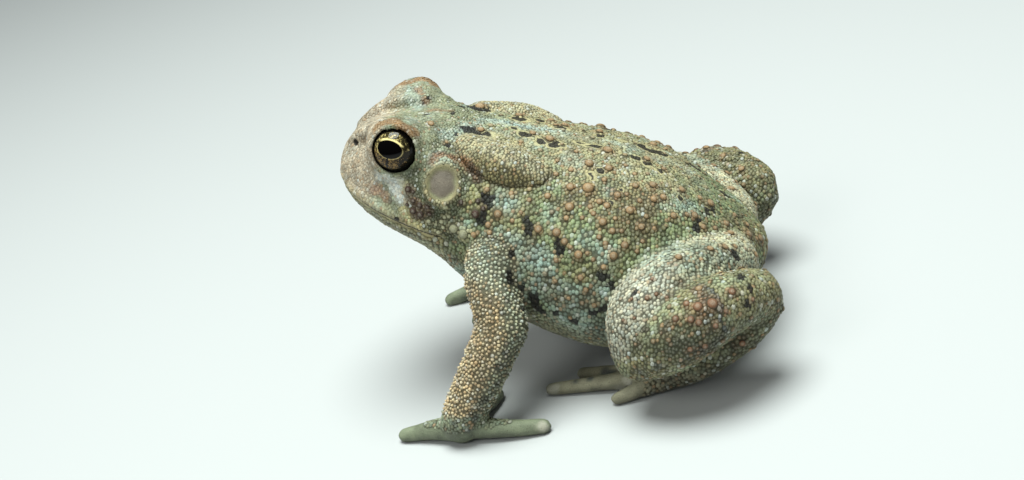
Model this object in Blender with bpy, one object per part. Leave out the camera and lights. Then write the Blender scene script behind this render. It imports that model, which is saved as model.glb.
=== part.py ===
"""Life-size model of a sitting American toad, head towards -X, resting on z = 0.

Every driving size is in millimetres and is turned into metres where the meshes are made.
The trunk and head are given in the toad's own frame: s runs back from the tip of the snout,
y to the toad's right and h up from the body axis, which is tilted by BODY_PITCH.
The limbs are given in the model's frame, for the left side; the right side mirrors them.
"""

import math
import random
from itertools import accumulate

import bmesh
import bpy
from mathutils import Matrix, Vector

MM = 0.001
GAP = 0.3 * MM

# Where the body axis starts and how steeply the toad sits
SNOUT_X = -28.3
SNOUT_Z = 45.9
BODY_PITCH = math.radians(24.8)

# Stations along the body: s, back height, belly height, half width, height of the widest line, squareness
BODY_STATIONS = (
    (0.0, 1.6, -1.6, 2.6, 0.0, 2.2),
    (0.5, 3.0, -3.2, 4.6, -0.5, 2.3),
    (1.7, 4.9, -4.6, 6.8, -1.0, 2.4),
    (4.0, 6.6, -5.9, 9.0, -2.0, 2.5),
    (7.0, 8.4, -7.2, 11.0, -2.8, 2.5),
    (10.5, 10.0, -8.4, 12.6, -3.2, 2.5),
    (14.0, 11.3, -9.4, 13.8, -3.0, 2.4),
    (17.5, 12.0, -10.8, 14.5, -2.4, 2.3),
    (21.0, 12.0, -13.2, 14.8, -2.0, 2.2),
    (25.0, 11.9, -16.4, 15.4, -2.5, 2.15),
    (30.0, 12.2, -19.0, 17.2, -3.5, 2.1),
    (36.0, 12.5, -21.0, 19.6, -5.0, 2.1),
    (43.0, 12.6, -22.0, 21.6, -6.5, 2.1),
    (50.0, 12.6, -22.3, 22.2, -7.5, 2.1),
    (57.0, 11.6, -21.4, 20.6, -7.5, 2.1),
    (63.0, 9.0, -19.2, 17.4, -6.5, 2.1),
    (68.0, 6.6, -16.2, 13.8, -5.5, 2.1),
    (72.0, 4.6, -12.4, 10.0, -4.0, 2.1),
    (75.0, 2.9, -7.6, 6.0, -2.0, 2.1),
    (76.6, 1.0, -3.4, 2.4, -1.0, 2.1),
)
BODY_RING_POINTS = 40

# Where the rings of a limb's round end lie, as angles from its tip
END_TURNS = [math.radians(turn) for turn in (65, 40, 18)]

# The mouth's flat cut: its height at the tip of the snout and at the corner, and the neck's
MOUTH_FRONT_H = -2.8
MOUTH_CORNER = (21.4, -4.9)
NECK_S = 23.5

# The head's parts, in the toad's frame, left side
EYE_CENTRE = (10.3, -9.7, 7.7)
EYE_RADIUS = 4.3
EYE_SIDES = 14
EYE_LOOK = (-0.12, -0.96, 0.2)
LID_HALF_SIZES = (3.85, 4.3)
LID_RADIUS = 0.65
LID_OUT = 1.9
BROW_CENTRE = (10.4, -8.2, 8.0)
BROW_RADII = (5.7, 4.9, 4.5)
SOCKET_CENTRE = (10.3, -9.0, 7.3)
SOCKET_RADII = (5.3, 4.4, 5.1)
NOSTRIL = (1.7, -3.9, 4.7)
NOSTRIL_RADIUS = 0.6
SNOUT_RIDGE = ((1.6, -3.6, 4.4), (4.0, -5.0, 7.0), (6.5, -5.9, 9.2))
INNER_CREST = ((6.5, -4.6, 9.4), (10.5, -4.4, 10.7), (14.2, -5.2, 11.1), (15.4, -7.4, 10.4))
REAR_CREST = ((15.4, -7.4, 10.4), (15.6, -9.8, 8.9), (15.4, -11.6, 7.0))
EAR_CENTRE = (19.3, -13.3, 4.9)
EAR_LOOK = (0.1, -0.85, 0.48)
EAR_HALF_SIZES = (2.8, 0.9, 3.2)
EAR_SIDES = 12
EAR_RIM_RADIUS = 0.5
LIP_YS = ((1.2, -3.6), (3.6, -8.2), (7.5, -11.2), (12.5, -13.2), (18.5, -14.2))
LIP_RADIUS = 1.0
GLAND_SPINE = ((22.3, -7.4, 8.7), (26.5, -8.6, 8.2), (31.0, -9.6, 8.0), (34.6, -10.4, 7.9))
GLAND_RADII = (3.2, 4.0, 4.1, 3.0)

# The left arm, in the model's frame: points along the limb and the limb's radius at each
UPPER_ARM = ((4.0, -12.0, 27.0), (-1.5, -15.0, 28.2), (-4.2, -18.0, 26.2), (-3.6, -21.0, 21.6), (-3.0, -22.4, 18.8))
UPPER_ARM_RADII = (5.0, 5.0, 4.2, 4.1, 4.2)
FOREARM = ((-3.0, -22.6, 18.4), (-5.4, -24.2, 15.4), (-8.6, -25.6, 11.0), (-12.2, -26.6, 6.2))
FOREARM_RADII = (4.2, 4.1, 3.9, 3.7)
PALM = ((-12.2, -26.6, 6.2), (-14.0, -26.6, 3.4), (-14.8, -25.4, 2.4))
PALM_RADII = (3.7, 3.5, 3.0)
FINGERS = (
    ((-13.2, -26.6, 2.4), (-9.0, -28.0, 2.2), (-4.0, -28.4, 1.7), (0.4, -28.2, 1.2)),
    ((-14.4, -25.0, 2.2), (-11.8, -20.6, 1.9), (-10.4, -17.4, 1.4), (-9.8, -15.2, 1.0)),
    ((-15.4, -25.4, 2.2), (-16.6, -20.6, 2.0), (-17.4, -16.6, 1.5), (-17.8, -13.2, 1.0)),
    ((-15.8, -26.4, 2.2), (-20.0, -25.4, 1.9), (-23.0, -24.8, 1.4), (-25.4, -24.4, 1.0)),
)
FINGER_RADII = (2.1, 1.6, 1.35, 1.25)

# The left hind leg, in the model's frame
THIGH = ((34.0, -9.0, 16.0), (30.0, -15.4, 18.2), (25.0, -21.4, 19.2), (20.4, -25.0, 17.2), (18.9, -26.2, 13.8))
THIGH_RADII = (6.0, 6.2, 5.9, 5.6, 4.6)
SHANK = ((19.0, -26.6, 11.2), (24.0, -28.0, 13.6), (30.0, -27.4, 16.4), (35.0, -25.0, 17.4), (39.4, -21.4, 16.3))
SHANK_RADII = (4.4, 5.4, 5.6, 4.9, 4.2)
TARSUS = ((40.0, -20.6, 14.4), (37.0, -21.2, 10.6), (31.0, -21.6, 6.8), (25.0, -20.4, 4.2), (20.6, -19.2, 2.8))
TARSUS_RADII = (3.6, 3.3, 3.0, 3.2, 2.6)
TOES = (
    ((23.0, -18.4, 2.6), (20.0, -15.6, 1.8), (18.0, -13.6, 1.2)),
    ((22.4, -18.8, 2.4), (17.0, -14.6, 1.8), (12.6, -11.8, 1.2)),
    ((21.6, -19.2, 2.4), (13.6, -15.6, 1.8), (5.6, -12.6, 1.1)),
    ((21.6, -19.6, 2.4), (12.0, -18.2, 1.9), (0.2, -16.4, 1.1)),
    ((22.4, -20.4, 2.4), (17.6, -21.6, 1.8), (12.6, -22.8, 1.1)),
)
TOE_RADII = (1.9, 1.35, 1.05)
WEB_REACH = 0.45
WEB_THICKNESS = 1.0
WEB_HEIGHT = 0.9

# Voxel size, smoothing passes and triangles for each kind of piece
TORSO_MESH = (0.75, 8, 1600)
HEAD_MESH = (0.45, 3, 2000)
GLAND_MESH = (0.5, 4, 180)
ARM_MESH = (0.42, 3, 1000)
THIGH_MESH = (0.55, 5, 300)
FOOT_MESH = (0.42, 2, 620)

# Warts on each kind of piece: how many, smallest and largest radius, and the seed of their places
TORSO_WARTS = (66, 0.7, 1.35, 3)
HEAD_WARTS = (10, 0.5, 0.8, 5)
THIGH_WARTS = (9, 0.6, 0.95, 7)
SHANK_WARTS = (12, 0.75, 1.35, 9)
UPPER_ARM_WARTS = (6, 0.5, 0.75, 11)
FOREARM_WARTS = (12, 0.5, 0.8, 13)
WART_SINK = 0.35
WART_SPACING = 1.3
WART_SIDES = 8
BARE_BELLY_H = -13.0
BARE_MIDLINE = 1.6

SKIN_COLOUR = (0.42, 0.38, 0.24, 1.0)
BELLY_COLOUR = (0.50, 0.50, 0.36, 1.0)
GLAND_COLOUR = (0.45, 0.38, 0.26, 1.0)
EAR_COLOUR = (0.36, 0.31, 0.27, 1.0)
IRIS_COLOUR = (0.12, 0.09, 0.03, 1.0)


def body_point(s, y, h):
    """A point of the toad's own frame, in the model's frame and in metres."""
    x = SNOUT_X + s * math.cos(BODY_PITCH) + h * math.sin(BODY_PITCH)
    z = SNOUT_Z - s * math.sin(BODY_PITCH) + h * math.cos(BODY_PITCH)
    return Vector((x, y, z)) * MM


def model_point(x, y, z):
    return Vector((x, y, z)) * MM


def paint(name, colour, roughness):
    material = bpy.data.materials.new(name)
    material.use_nodes = True
    shader = material.node_tree.nodes["Principled BSDF"]
    shader.inputs["Base Color"].default_value = colour
    shader.inputs["Roughness"].default_value = roughness
    shader.inputs["Metallic"].default_value = 0.0
    return material


def object_from(name, bm, material):
    mesh = bpy.data.meshes.new(name)
    bm.to_mesh(mesh)
    bm.free()
    obj = bpy.data.objects.new(name, mesh)
    obj.data.materials.append(material)
    bpy.context.scene.collection.objects.link(obj)
    return obj


def spline(points, steps):
    """Points on a smooth curve through the given ones, with the given number of steps between two."""
    known = [Vector(p) for p in points]
    known = [2 * known[0] - known[1], *known, 2 * known[-1] - known[-2]]
    found = []
    for before, a, b, after in zip(known, known[1:], known[2:], known[3:]):
        for i in range(steps):
            t = i / steps
            bend = (2 * before - 5 * a + 4 * b - after) * t * t + (3 * a - before - 3 * b + after) * t**3
            found.append(0.5 * (2 * a + (b - before) * t + bend))
    return found + [known[-2]]


def face_outwards(bm):
    """Turns the faces of a closed surface, or of several, outwards."""
    bmesh.ops.recalc_face_normals(bm, faces=bm.faces)
    if bm.calc_volume(signed=True) < 0:
        bmesh.ops.reverse_faces(bm, faces=bm.faces)


def closed_tube(bm, rings):
    """Skins a row of equal rings and closes both ends with a fan."""
    for ring, following in zip(rings, rings[1:]):
        for i in range(len(ring)):
            j = (i + 1) % len(ring)
            bm.faces.new((ring[i], ring[j], following[j], following[i]))
    bm.faces.new(rings[0][::-1])
    bm.faces.new(rings[-1])


def add_limb(bm, points, radii, place, steps=4, sides=14):
    """A smooth, round, tapering limb along the points, with round ends."""
    path = [place(*p) for p in spline(points, steps)]
    sizes = [v.x * MM for v in spline([(r, 0.0, 0.0) for r in radii], steps)]
    along = [(b - a).normalized() for a, b in zip([path[0], *path], [*path[1:], path[-1]])]
    start, end = path[0], path[-1]
    stations = list(zip(path, along, sizes))
    for turn in END_TURNS:
        back, side = math.cos(turn), math.sin(turn)
        stations.append((end + along[-1] * sizes[-1] * back, along[-1], sizes[-1] * side))
        stations.insert(0, (start - along[0] * sizes[0] * back, along[0], sizes[0] * side))
    rings = []
    across = along[0].orthogonal().normalized()
    for centre, direction, radius in stations:
        across = (across - direction * across.dot(direction)).normalized()
        up = direction.cross(across)
        ring = []
        for i in range(sides):
            turn = 2 * math.pi * i / sides
            ring.append(bm.verts.new(centre + (across * math.cos(turn) + up * math.sin(turn)) * radius))
        rings.append(ring)
    closed_tube(bm, rings)


def add_ball(bm, centre, radii, turn=Matrix.Identity(4), segments=32):
    """An ellipsoid with the given half sizes in millimetres, about a point in metres."""
    size = Matrix.Diagonal((*(r * MM for r in radii), 1.0))
    bmesh.ops.create_uvsphere(
        bm,
        u_segments=segments,
        v_segments=segments // 2,
        radius=1.0,
        matrix=Matrix.Translation(centre) @ turn @ size,
    )


def add_hoop(bm, centre, look, half_sizes, radius, place, steps=20):
    """A closed round-edged hoop about a line of sight, all in the toad's own frame."""
    look = Vector(look).normalized()
    across = look.cross(Vector((0, 0, 1))).normalized()
    up = across.cross(look)
    wide, high = half_sizes
    points = []
    for i in range(steps + 1):
        turn = 2 * math.pi * i / steps
        points.append(Vector(centre) + across * wide * math.cos(turn) + up * high * math.sin(turn))
    add_limb(bm, points, (radius,) * len(points), place, steps=1, sides=8)


def body_turn():
    """Turns a shape so that its X lies along the body axis and its Z towards the back."""
    return Matrix.Rotation(BODY_PITCH, 4, "Y")


def facing(look, side):
    """Turns a shape so that its Y looks along a direction of the toad's own frame."""
    along, across, up = look
    look = Vector((along, across * side, up)).normalized()
    across = look.cross(Vector((0, 0, 1))).normalized()
    return body_turn() @ Matrix((across, look, across.cross(look))).transposed().to_4x4()


def body_ring(bm, station):
    """One closed cross-section of the trunk or head, a rounded square between back and belly."""
    s, back, belly, half_width, widest, square = station
    ring = []
    for i in range(BODY_RING_POINTS):
        turn = 2 * math.pi * i / BODY_RING_POINTS
        across = math.copysign(abs(math.cos(turn)) ** (2 / square), math.cos(turn))
        up = math.copysign(abs(math.sin(turn)) ** (2 / square), math.sin(turn))
        height = widest + up * (back - widest if up > 0 else widest - belly)
        ring.append(bm.verts.new(body_point(s, half_width * across, height)))
    return ring, [bm.edges.new((a, b)) for a, b in zip(ring, ring[1:] + ring[:1])]


def add_trunk(bm):
    """The trunk and head in one, from the snout to the vent."""
    rings = [body_ring(bm, station) for station in BODY_STATIONS]
    for (_, edges), (_, following) in zip(rings, rings[1:]):
        bmesh.ops.bridge_loops(bm, edges=edges + following)
    bm.faces.new(rings[0][0])
    bm.faces.new(rings[-1][0])


def mouth_height(s):
    """The height of the mouth's cut at a distance from the snout."""
    corner_s, corner_h = MOUTH_CORNER
    return MOUTH_FRONT_H + (corner_h - MOUTH_FRONT_H) * s / corner_s


def add_head_forms(bm):
    """Brows, lids, crests, snout ridges, ear rims and lips, on both sides."""
    lid_centre = Vector(EYE_CENTRE) + Vector(EYE_LOOK).normalized() * LID_OUT
    lip = [(s, y, mouth_height(s) + 0.8) for s, y in LIP_YS]
    for side in (1, -1):
        def place(s, y, h, side=side):
            return body_point(s, y * side, h)

        add_ball(bm, place(*BROW_CENTRE), BROW_RADII, body_turn())
        add_ball(bm, place(*SOCKET_CENTRE), SOCKET_RADII, body_turn())
        add_hoop(bm, lid_centre, EYE_LOOK, LID_HALF_SIZES, LID_RADIUS, place)
        add_limb(bm, SNOUT_RIDGE, (0.9, 1.2, 1.2), place)
        add_limb(bm, INNER_CREST, (1.0, 1.1, 1.2, 1.2), place)
        add_limb(bm, REAR_CREST, (1.2, 1.2, 1.0), place)
        ear_wide, _, ear_high = EAR_HALF_SIZES
        rim = (ear_wide + EAR_RIM_RADIUS, ear_high + EAR_RIM_RADIUS)
        add_hoop(bm, EAR_CENTRE, EAR_LOOK, rim, EAR_RIM_RADIUS, place)
        add_limb(bm, lip, (LIP_RADIUS,) * len(lip), place)


def applied(obj):
    """The object with its modifiers made real."""
    graph = bpy.context.evaluated_depsgraph_get()
    mesh = bpy.data.meshes.new_from_object(obj.evaluated_get(graph), depsgraph=graph)
    obj.modifiers.clear()
    obj.data = mesh
    return obj


def triangle_count(mesh):
    return sum(len(face.vertices) - 2 for face in mesh.polygons)


def fused(obj, voxel, passes, triangles):
    """Overlapping shapes made one smooth skin of about the given number of triangles."""
    remesh = obj.modifiers.new("fuse", "REMESH")
    remesh.mode = "VOXEL"
    remesh.voxel_size = voxel * MM
    smooth = obj.modifiers.new("smooth", "SMOOTH")
    smooth.factor = 0.5
    smooth.iterations = passes
    applied(obj)
    thin = obj.modifiers.new("thin", "DECIMATE")
    thin.ratio = min(1.0, triangles / triangle_count(obj.data))
    return applied(obj)


def largest_only(obj):
    """Only the largest connected surface stays."""
    bm = bmesh.new()
    bm.from_mesh(obj.data)
    left = set(bm.verts)
    islands = []
    while left:
        front = [left.pop()]
        island = list(front)
        while front:
            vert = front.pop()
            for edge in vert.link_edges:
                other = edge.other_vert(vert)
                if other in left:
                    left.remove(other)
                    front.append(other)
                    island.append(other)
        islands.append(island)
    islands.sort(key=len)
    for island in islands[:-1]:
        bmesh.ops.delete(bm, geom=island, context="VERTS")
    bm.to_mesh(obj.data)
    bm.free()
    return obj


def boolean(obj, other, operation, solver="EXACT"):
    cut = obj.modifiers.new("boolean", "BOOLEAN")
    cut.operation = operation
    cut.solver = solver
    cut.object = other
    return applied(obj)


def swollen(obj, by):
    """A copy of the object whose surface stands out by the given distance, for cutting its neighbour."""
    copy = bpy.data.objects.new(obj.name + "_cutter", obj.data.copy())
    bpy.context.scene.collection.objects.link(copy)
    bm = bmesh.new()
    bm.from_mesh(copy.data)
    bm.normal_update()
    moves = [(vert, vert.co + vert.normal * vert.calc_shell_factor() * by) for vert in bm.verts]
    for vert, place in moves:
        vert.co = place
    bm.to_mesh(copy.data)
    bm.free()
    return copy


def make_room(obj, *neighbours):
    """The object, cut clear of each neighbour by the gap, with only its largest surface kept."""
    for neighbour in neighbours:
        cutter = swollen(neighbour, GAP)
        boolean(obj, cutter, "DIFFERENCE")
        bpy.data.objects.remove(cutter)
    return largest_only(obj)


def sliced(obj, name, point, normal, gap=GAP):
    """A copy of the object that keeps what lies against the normal, closed with a flat face."""
    copy = bpy.data.objects.new(name, obj.data.copy())
    bpy.context.scene.collection.objects.link(copy)
    slice_off(copy, point - normal * gap / 2, normal)
    return copy


def slice_off(obj, point, normal):
    """Cuts away what lies past the plane and closes the cut with a flat face."""
    bm = bmesh.new()
    bm.from_mesh(obj.data)
    cut = bmesh.ops.bisect_plane(
        bm,
        geom=bm.verts[:] + bm.edges[:] + bm.faces[:],
        dist=1e-7,
        plane_co=point,
        plane_no=normal,
        clear_outer=True,
    )
    edges = [item for item in cut["geom_cut"] if isinstance(item, bmesh.types.BMEdge)]
    if edges:
        bmesh.ops.triangle_fill(bm, use_beauty=True, edges=edges)
    face_outwards(bm)
    bm.to_mesh(obj.data)
    bm.free()


def stand_flat(obj):
    """The underside cut level with the floor, where it reaches below it."""
    slice_off(obj, Vector((0, 0, 0)), Vector((0, 0, -1)))
    return largest_only(obj)


def whole_body(skin):
    """The trunk and head, with every form of the head laid over them."""
    bm = bmesh.new()
    add_trunk(bm)
    add_head_forms(bm)
    face_outwards(bm)
    return object_from("whole_body", bm, skin)


def make_axial_body(skin):
    """The head, lower jaw and torso, parted by thin flat cuts."""
    back = (body_point(1, 0, 0) - body_point(0, 0, 0)).normalized()
    neck = body_point(NECK_S, 0, 0)
    mouth = body_point(0, 0, MOUTH_FRONT_H)
    corner_s, corner_h = MOUTH_CORNER
    along_mouth = body_point(corner_s, 0, corner_h) - mouth
    up = along_mouth.cross(Vector((0, 1, 0))).normalized()
    if up.z < 0:
        up = -up

    coarse = fused(whole_body(skin), *TORSO_MESH)
    torso = sliced(coarse, "torso", neck, -back)
    fine = whole_body(skin)
    slice_off(fine, neck + back * 4 * MM, back)
    fused(fine, *HEAD_MESH)
    front = sliced(fine, "front", neck, back)
    head = sliced(front, "head", mouth, -up)
    jaw = sliced(front, "lower_jaw", mouth, up)
    for scrap in (coarse, fine, front):
        bpy.data.objects.remove(scrap)
    return largest_only(torso), largest_only(head), largest_only(jaw)


def make_limb(name, material, limbs, quality, webs=()):
    """One skin over limbs that run into each other, and over the webs between pairs of digits."""
    bm = bmesh.new()
    for points, radii in limbs:
        add_limb(bm, points, radii, model_point)
    for first, second in webs:
        add_web(bm, first, second, WEB_REACH)
    face_outwards(bm)
    return fused(object_from(name, bm, material), *quality)


def make_arm(side, skin, placed):
    """The upper arm, forearm and hand, modelled whole and parted by thin flat cuts."""
    upper, lower, palm = placed(UPPER_ARM), placed(FOREARM), placed(PALM)
    fingers = [(placed(finger), FINGER_RADII) for finger in FINGERS]
    limbs = [(upper, UPPER_ARM_RADII), (lower, FOREARM_RADII), (palm, PALM_RADII), *fingers]
    whole = make_limb("whole_arm", skin, limbs, ARM_MESH)
    elbow, wrist = model_point(*lower[0]), model_point(*lower[-1])
    past_elbow = (model_point(*lower[1]) - model_point(*upper[-2])).normalized()
    past_wrist = Vector((0, 0, -1))
    arm = sliced(whole, f"upper_arm_{side}", elbow, past_elbow)
    rest = sliced(whole, "rest", elbow, -past_elbow)
    forearm = sliced(rest, f"forearm_{side}", wrist, past_wrist)
    hand = sliced(rest, f"hand_{side}", wrist, -past_wrist)
    for scrap in (whole, rest):
        bpy.data.objects.remove(scrap)
    stand_flat(hand)
    return arm, forearm, hand


def add_web(bm, first, second, reach):
    """A thin skin between two toes, from their roots to the given share of their length."""
    a = [model_point(*p) for p in spline(first, 6)]
    b = [model_point(*p) for p in spline(second, 6)]
    a = a[: round(reach * len(a)) + 1]
    b = b[: round(reach * len(b)) + 1]
    count = 8
    rings = []
    for i in range(count):
        p = a[round(i * (len(a) - 1) / (count - 1))]
        q = b[round(i * (len(b) - 1) / (count - 1))]
        ring = []
        for end, lift in ((p, 1), (q, 1), (q, -1), (p, -1)):
            height = WEB_HEIGHT + lift * WEB_THICKNESS / 2
            ring.append(bm.verts.new((end.x, end.y, height * MM)))
        rings.append(ring)
    closed_tube(bm, rings)


def make_ball_node(name, centre, radii, turn, material, segments):
    bm = bmesh.new()
    add_ball(bm, centre, radii, turn, segments)
    bmesh.ops.triangulate(bm, faces=bm.faces)
    return object_from(name, bm, material)


def scattered(obj, others, warts, allowed):
    """Random places on the piece's skin: point, outward direction and wart radius, clear of the other pieces."""
    count, smallest, largest, seed = warts
    draw = random.Random(seed)
    mesh = obj.data
    mesh.calc_loop_triangles()
    triangles = list(mesh.loop_triangles)
    shares = list(accumulate(triangle.area for triangle in triangles))
    found = []
    for _ in range(count * 40):
        triangle = draw.choices(triangles, cum_weights=shares)[0]
        a, b, c = [mesh.vertices[i].co for i in triangle.vertices]
        u = math.sqrt(draw.random())
        v = draw.random()
        point = a * (1 - u) + b * (u * (1 - v)) + c * (u * v)
        radius = draw.uniform(smallest, largest) * MM
        crowded = any((point - other).length < (radius + size) * WART_SPACING for other, _, size in found)
        if crowded or not allowed(point, triangle.normal):
            continue
        distances = [(other.closest_point_on_mesh(point)[1] - point).length for other in others]
        if min(distances) > radius + GAP:
            found.append((point, triangle.normal.copy(), radius))
        if len(found) == count:
            break
    return found


def fuse_on(obj, pieces):
    """The closed pieces joined to the object in one union."""
    group = bpy.data.collections.new("pieces_to_fuse")
    bpy.context.scene.collection.children.link(group)
    for piece in pieces:
        bpy.context.scene.collection.objects.unlink(piece)
        group.objects.link(piece)
    union = obj.modifiers.new("union", "BOOLEAN")
    union.operation = "UNION"
    union.operand_type = "COLLECTION"
    union.collection = group
    applied(obj)
    for piece in pieces:
        bpy.data.objects.remove(piece)
    bpy.data.collections.remove(group)
    return largest_only(obj)


def grow_warts(obj, others, warts, allowed):
    """Low round warts, sunk into the skin of a piece and fused with it."""
    pieces = []
    for point, outward, radius in scattered(obj, others, warts, allowed):
        bm = bmesh.new()
        turn = outward.to_track_quat("Z", "Y").to_matrix().to_4x4()
        size = (radius / MM,) * 3
        add_ball(bm, point - outward * radius * WART_SINK, size, turn, WART_SIDES)
        pieces.append(object_from("wart", bm, obj.data.materials[0]))
    fuse_on(obj, pieces)


def body_place(point):
    """The s, y and h of a point given in the model's frame and in metres."""
    x = point.x / MM - SNOUT_X
    z = point.z / MM - SNOUT_Z
    s = x * math.cos(BODY_PITCH) - z * math.sin(BODY_PITCH)
    h = x * math.sin(BODY_PITCH) + z * math.cos(BODY_PITCH)
    return s, point.y / MM, h


def on_back_or_flank(point, outward):
    """Whether a place on the trunk has large warts: not the belly, the midline or a flat cut."""
    s, y, h = body_place(point)
    return NECK_S + 1.5 < s < 72 and abs(y) > BARE_MIDLINE and h > BARE_BELLY_H


def on_upper_head(point, outward):
    """Whether a place on the head has warts: behind the eye or on the crown, and off the neck's cut."""
    s, y, h = body_place(point)
    return 7 < s < NECK_S - 1.2 and h > -1.5 and (s > 15 or h > 10.5)


def faces_out(point, outward):
    """Whether a place on a limb looks up or away from the trunk."""
    side = math.copysign(1, point.y)
    return outward.y * side > 0.1 or outward.z > 0.4


def drill_nostril(head, place):
    """A small round pit at one nostril, where it comes nearest to the skin."""
    _, middle, _, _ = head.closest_point_on_mesh(place(*NOSTRIL))
    bm = bmesh.new()
    add_ball(bm, middle, (NOSTRIL_RADIUS,) * 3, segments=10)
    pit = object_from("nostril_pit", bm, head.data.materials[0])
    boolean(head, pit, "DIFFERENCE")
    bpy.data.objects.remove(pit)


def settle(objects):
    """Centres the toad over the world's origin and gives each piece an origin at its own middle."""
    corners = {obj: [Vector(c) for c in obj.bound_box] for obj in objects}
    every = [c for found in corners.values() for c in found]
    low, high = [Vector(map(pick, zip(*every))) for pick in (min, max)]
    shift = Vector(((low.x + high.x) / 2, (low.y + high.y) / 2, low.z))
    for obj, found in corners.items():
        middle = (found[0] + found[6]) / 2
        obj.data.transform(Matrix.Translation(-middle))
        obj.location = middle - shift


def main():
    for obj in list(bpy.data.objects):
        bpy.data.objects.remove(obj)
    skin = paint("toad_skin", SKIN_COLOUR, 0.6)
    belly = paint("throat_skin", BELLY_COLOUR, 0.6)
    gland = paint("gland_skin", GLAND_COLOUR, 0.65)
    ear = paint("ear_skin", EAR_COLOUR, 0.5)
    iris = paint("eye", IRIS_COLOUR, 0.1)

    torso, head, jaw = make_axial_body(skin)
    jaw.data.materials.clear()
    jaw.data.materials.append(belly)
    warty = [(torso, TORSO_WARTS, on_back_or_flank), (head, HEAD_WARTS, on_upper_head)]
    for side, sign in (("left", 1), ("right", -1)):
        def placed(points, sign=sign):
            return [(x, y * sign, z) for x, y, z in points]

        def place(s, y, h, sign=sign):
            return body_point(s, y * sign, h)

        eye_turn, ear_turn = facing(EYE_LOOK, sign), facing(EAR_LOOK, sign)
        eye = make_ball_node(f"eye_{side}", place(*EYE_CENTRE), (EYE_RADIUS,) * 3, eye_turn, iris, EYE_SIDES)
        drum = make_ball_node(f"ear_drum_{side}", place(*EAR_CENTRE), EAR_HALF_SIZES, ear_turn, ear, EAR_SIDES)
        bm = bmesh.new()
        add_limb(bm, GLAND_SPINE, GLAND_RADII, place)
        face_outwards(bm)
        parotoid = fused(object_from(f"parotoid_{side}", bm, gland), *GLAND_MESH)
        make_room(head, eye, drum, parotoid)
        make_room(torso, parotoid)
        drill_nostril(head, place)

        arm, forearm, _ = make_arm(side, skin, placed)
        make_room(arm, torso)
        thigh = make_limb(f"thigh_{side}", skin, [(placed(THIGH), THIGH_RADII)], THIGH_MESH)
        make_room(thigh, torso)
        shank = make_limb(f"shank_{side}", skin, [(placed(SHANK), SHANK_RADII)], THIGH_MESH)
        make_room(shank, thigh, torso)
        toes = [placed(toe) for toe in TOES]
        limbs = [(placed(TARSUS), TARSUS_RADII), *((toe, TOE_RADII) for toe in toes)]
        foot = make_limb(f"foot_{side}", skin, limbs, FOOT_MESH, list(zip(toes, toes[1:])))
        make_room(foot, shank, torso)
        stand_flat(foot)
        warty += [
            (arm, UPPER_ARM_WARTS, faces_out),
            (forearm, FOREARM_WARTS, faces_out),
            (thigh, THIGH_WARTS, faces_out),
            (shank, SHANK_WARTS, faces_out),
        ]
    pieces = [obj for obj in bpy.data.objects if obj.type == "MESH"]
    for obj, warts, allowed in warty:
        grow_warts(obj, [other for other in pieces if other is not obj], warts, allowed)
    settle(pieces)


main()
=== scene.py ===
# %% [markdown]
# # An American toad, life size
# The real animal is one dry, warty skin over flesh and bone, with two wet eyes set in it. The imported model
# gives its parts as separate solids. This lesson melts the solids of flesh into one skin, raises warts on
# it, sows fine grains over it, colours all of them with the same markings, and sets glossy eyes in the lids.

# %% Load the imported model
import math

import bmesh
import bpy
import numpy as np
from mathutils import Matrix, Vector
from mathutils.bvhtree import BVHTree
from mathutils.geometry import barycentric_transform
from mathutils.kdtree import KDTree


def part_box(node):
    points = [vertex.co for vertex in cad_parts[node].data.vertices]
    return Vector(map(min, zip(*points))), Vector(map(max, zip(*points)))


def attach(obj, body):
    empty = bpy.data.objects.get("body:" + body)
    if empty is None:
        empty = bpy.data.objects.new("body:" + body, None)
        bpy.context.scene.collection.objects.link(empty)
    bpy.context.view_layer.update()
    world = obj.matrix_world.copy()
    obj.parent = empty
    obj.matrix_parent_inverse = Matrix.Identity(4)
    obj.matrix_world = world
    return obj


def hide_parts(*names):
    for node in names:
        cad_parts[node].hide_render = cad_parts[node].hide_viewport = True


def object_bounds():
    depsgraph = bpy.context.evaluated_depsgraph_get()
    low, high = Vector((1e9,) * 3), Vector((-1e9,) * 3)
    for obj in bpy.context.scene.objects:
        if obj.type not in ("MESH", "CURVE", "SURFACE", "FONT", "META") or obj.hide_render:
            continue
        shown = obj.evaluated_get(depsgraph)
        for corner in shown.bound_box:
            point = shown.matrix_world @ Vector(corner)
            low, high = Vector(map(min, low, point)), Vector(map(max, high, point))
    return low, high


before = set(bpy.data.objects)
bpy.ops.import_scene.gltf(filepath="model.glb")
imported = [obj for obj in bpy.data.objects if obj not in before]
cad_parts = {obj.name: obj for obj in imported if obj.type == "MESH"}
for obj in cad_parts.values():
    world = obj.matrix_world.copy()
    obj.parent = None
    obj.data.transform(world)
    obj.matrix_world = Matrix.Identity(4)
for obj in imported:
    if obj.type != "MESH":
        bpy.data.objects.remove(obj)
cad_low, cad_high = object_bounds()
print("nodes:", len(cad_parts), "box in mm:", [round(v * 1000, 1) for v in cad_high - cad_low])

# %% [markdown]
# A toad sits with its back sloping down behind. Every marking is easier to place along the body than along
# the floor, so places are given as millimetres behind the snout, to the right, and above the body's axis.
# The two eyes are the only solids whose place in the body is known for certain, so they fix the frame.

# %% The body's own directions
MM = 0.001
BODY_PITCH = math.radians(24.8)
EYE_PLACE = np.array((10.3, 9.7, 7.7))
TAILWARD = np.array((math.cos(BODY_PITCH), 0.0, -math.sin(BODY_PITCH)))
RIGHTWARD = np.array((0.0, 1.0, 0.0))
UPWARD = np.array((math.sin(BODY_PITCH), 0.0, math.cos(BODY_PITCH)))
BODY_AXES = np.stack((TAILWARD, RIGHTWARD, UPWARD))


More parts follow.
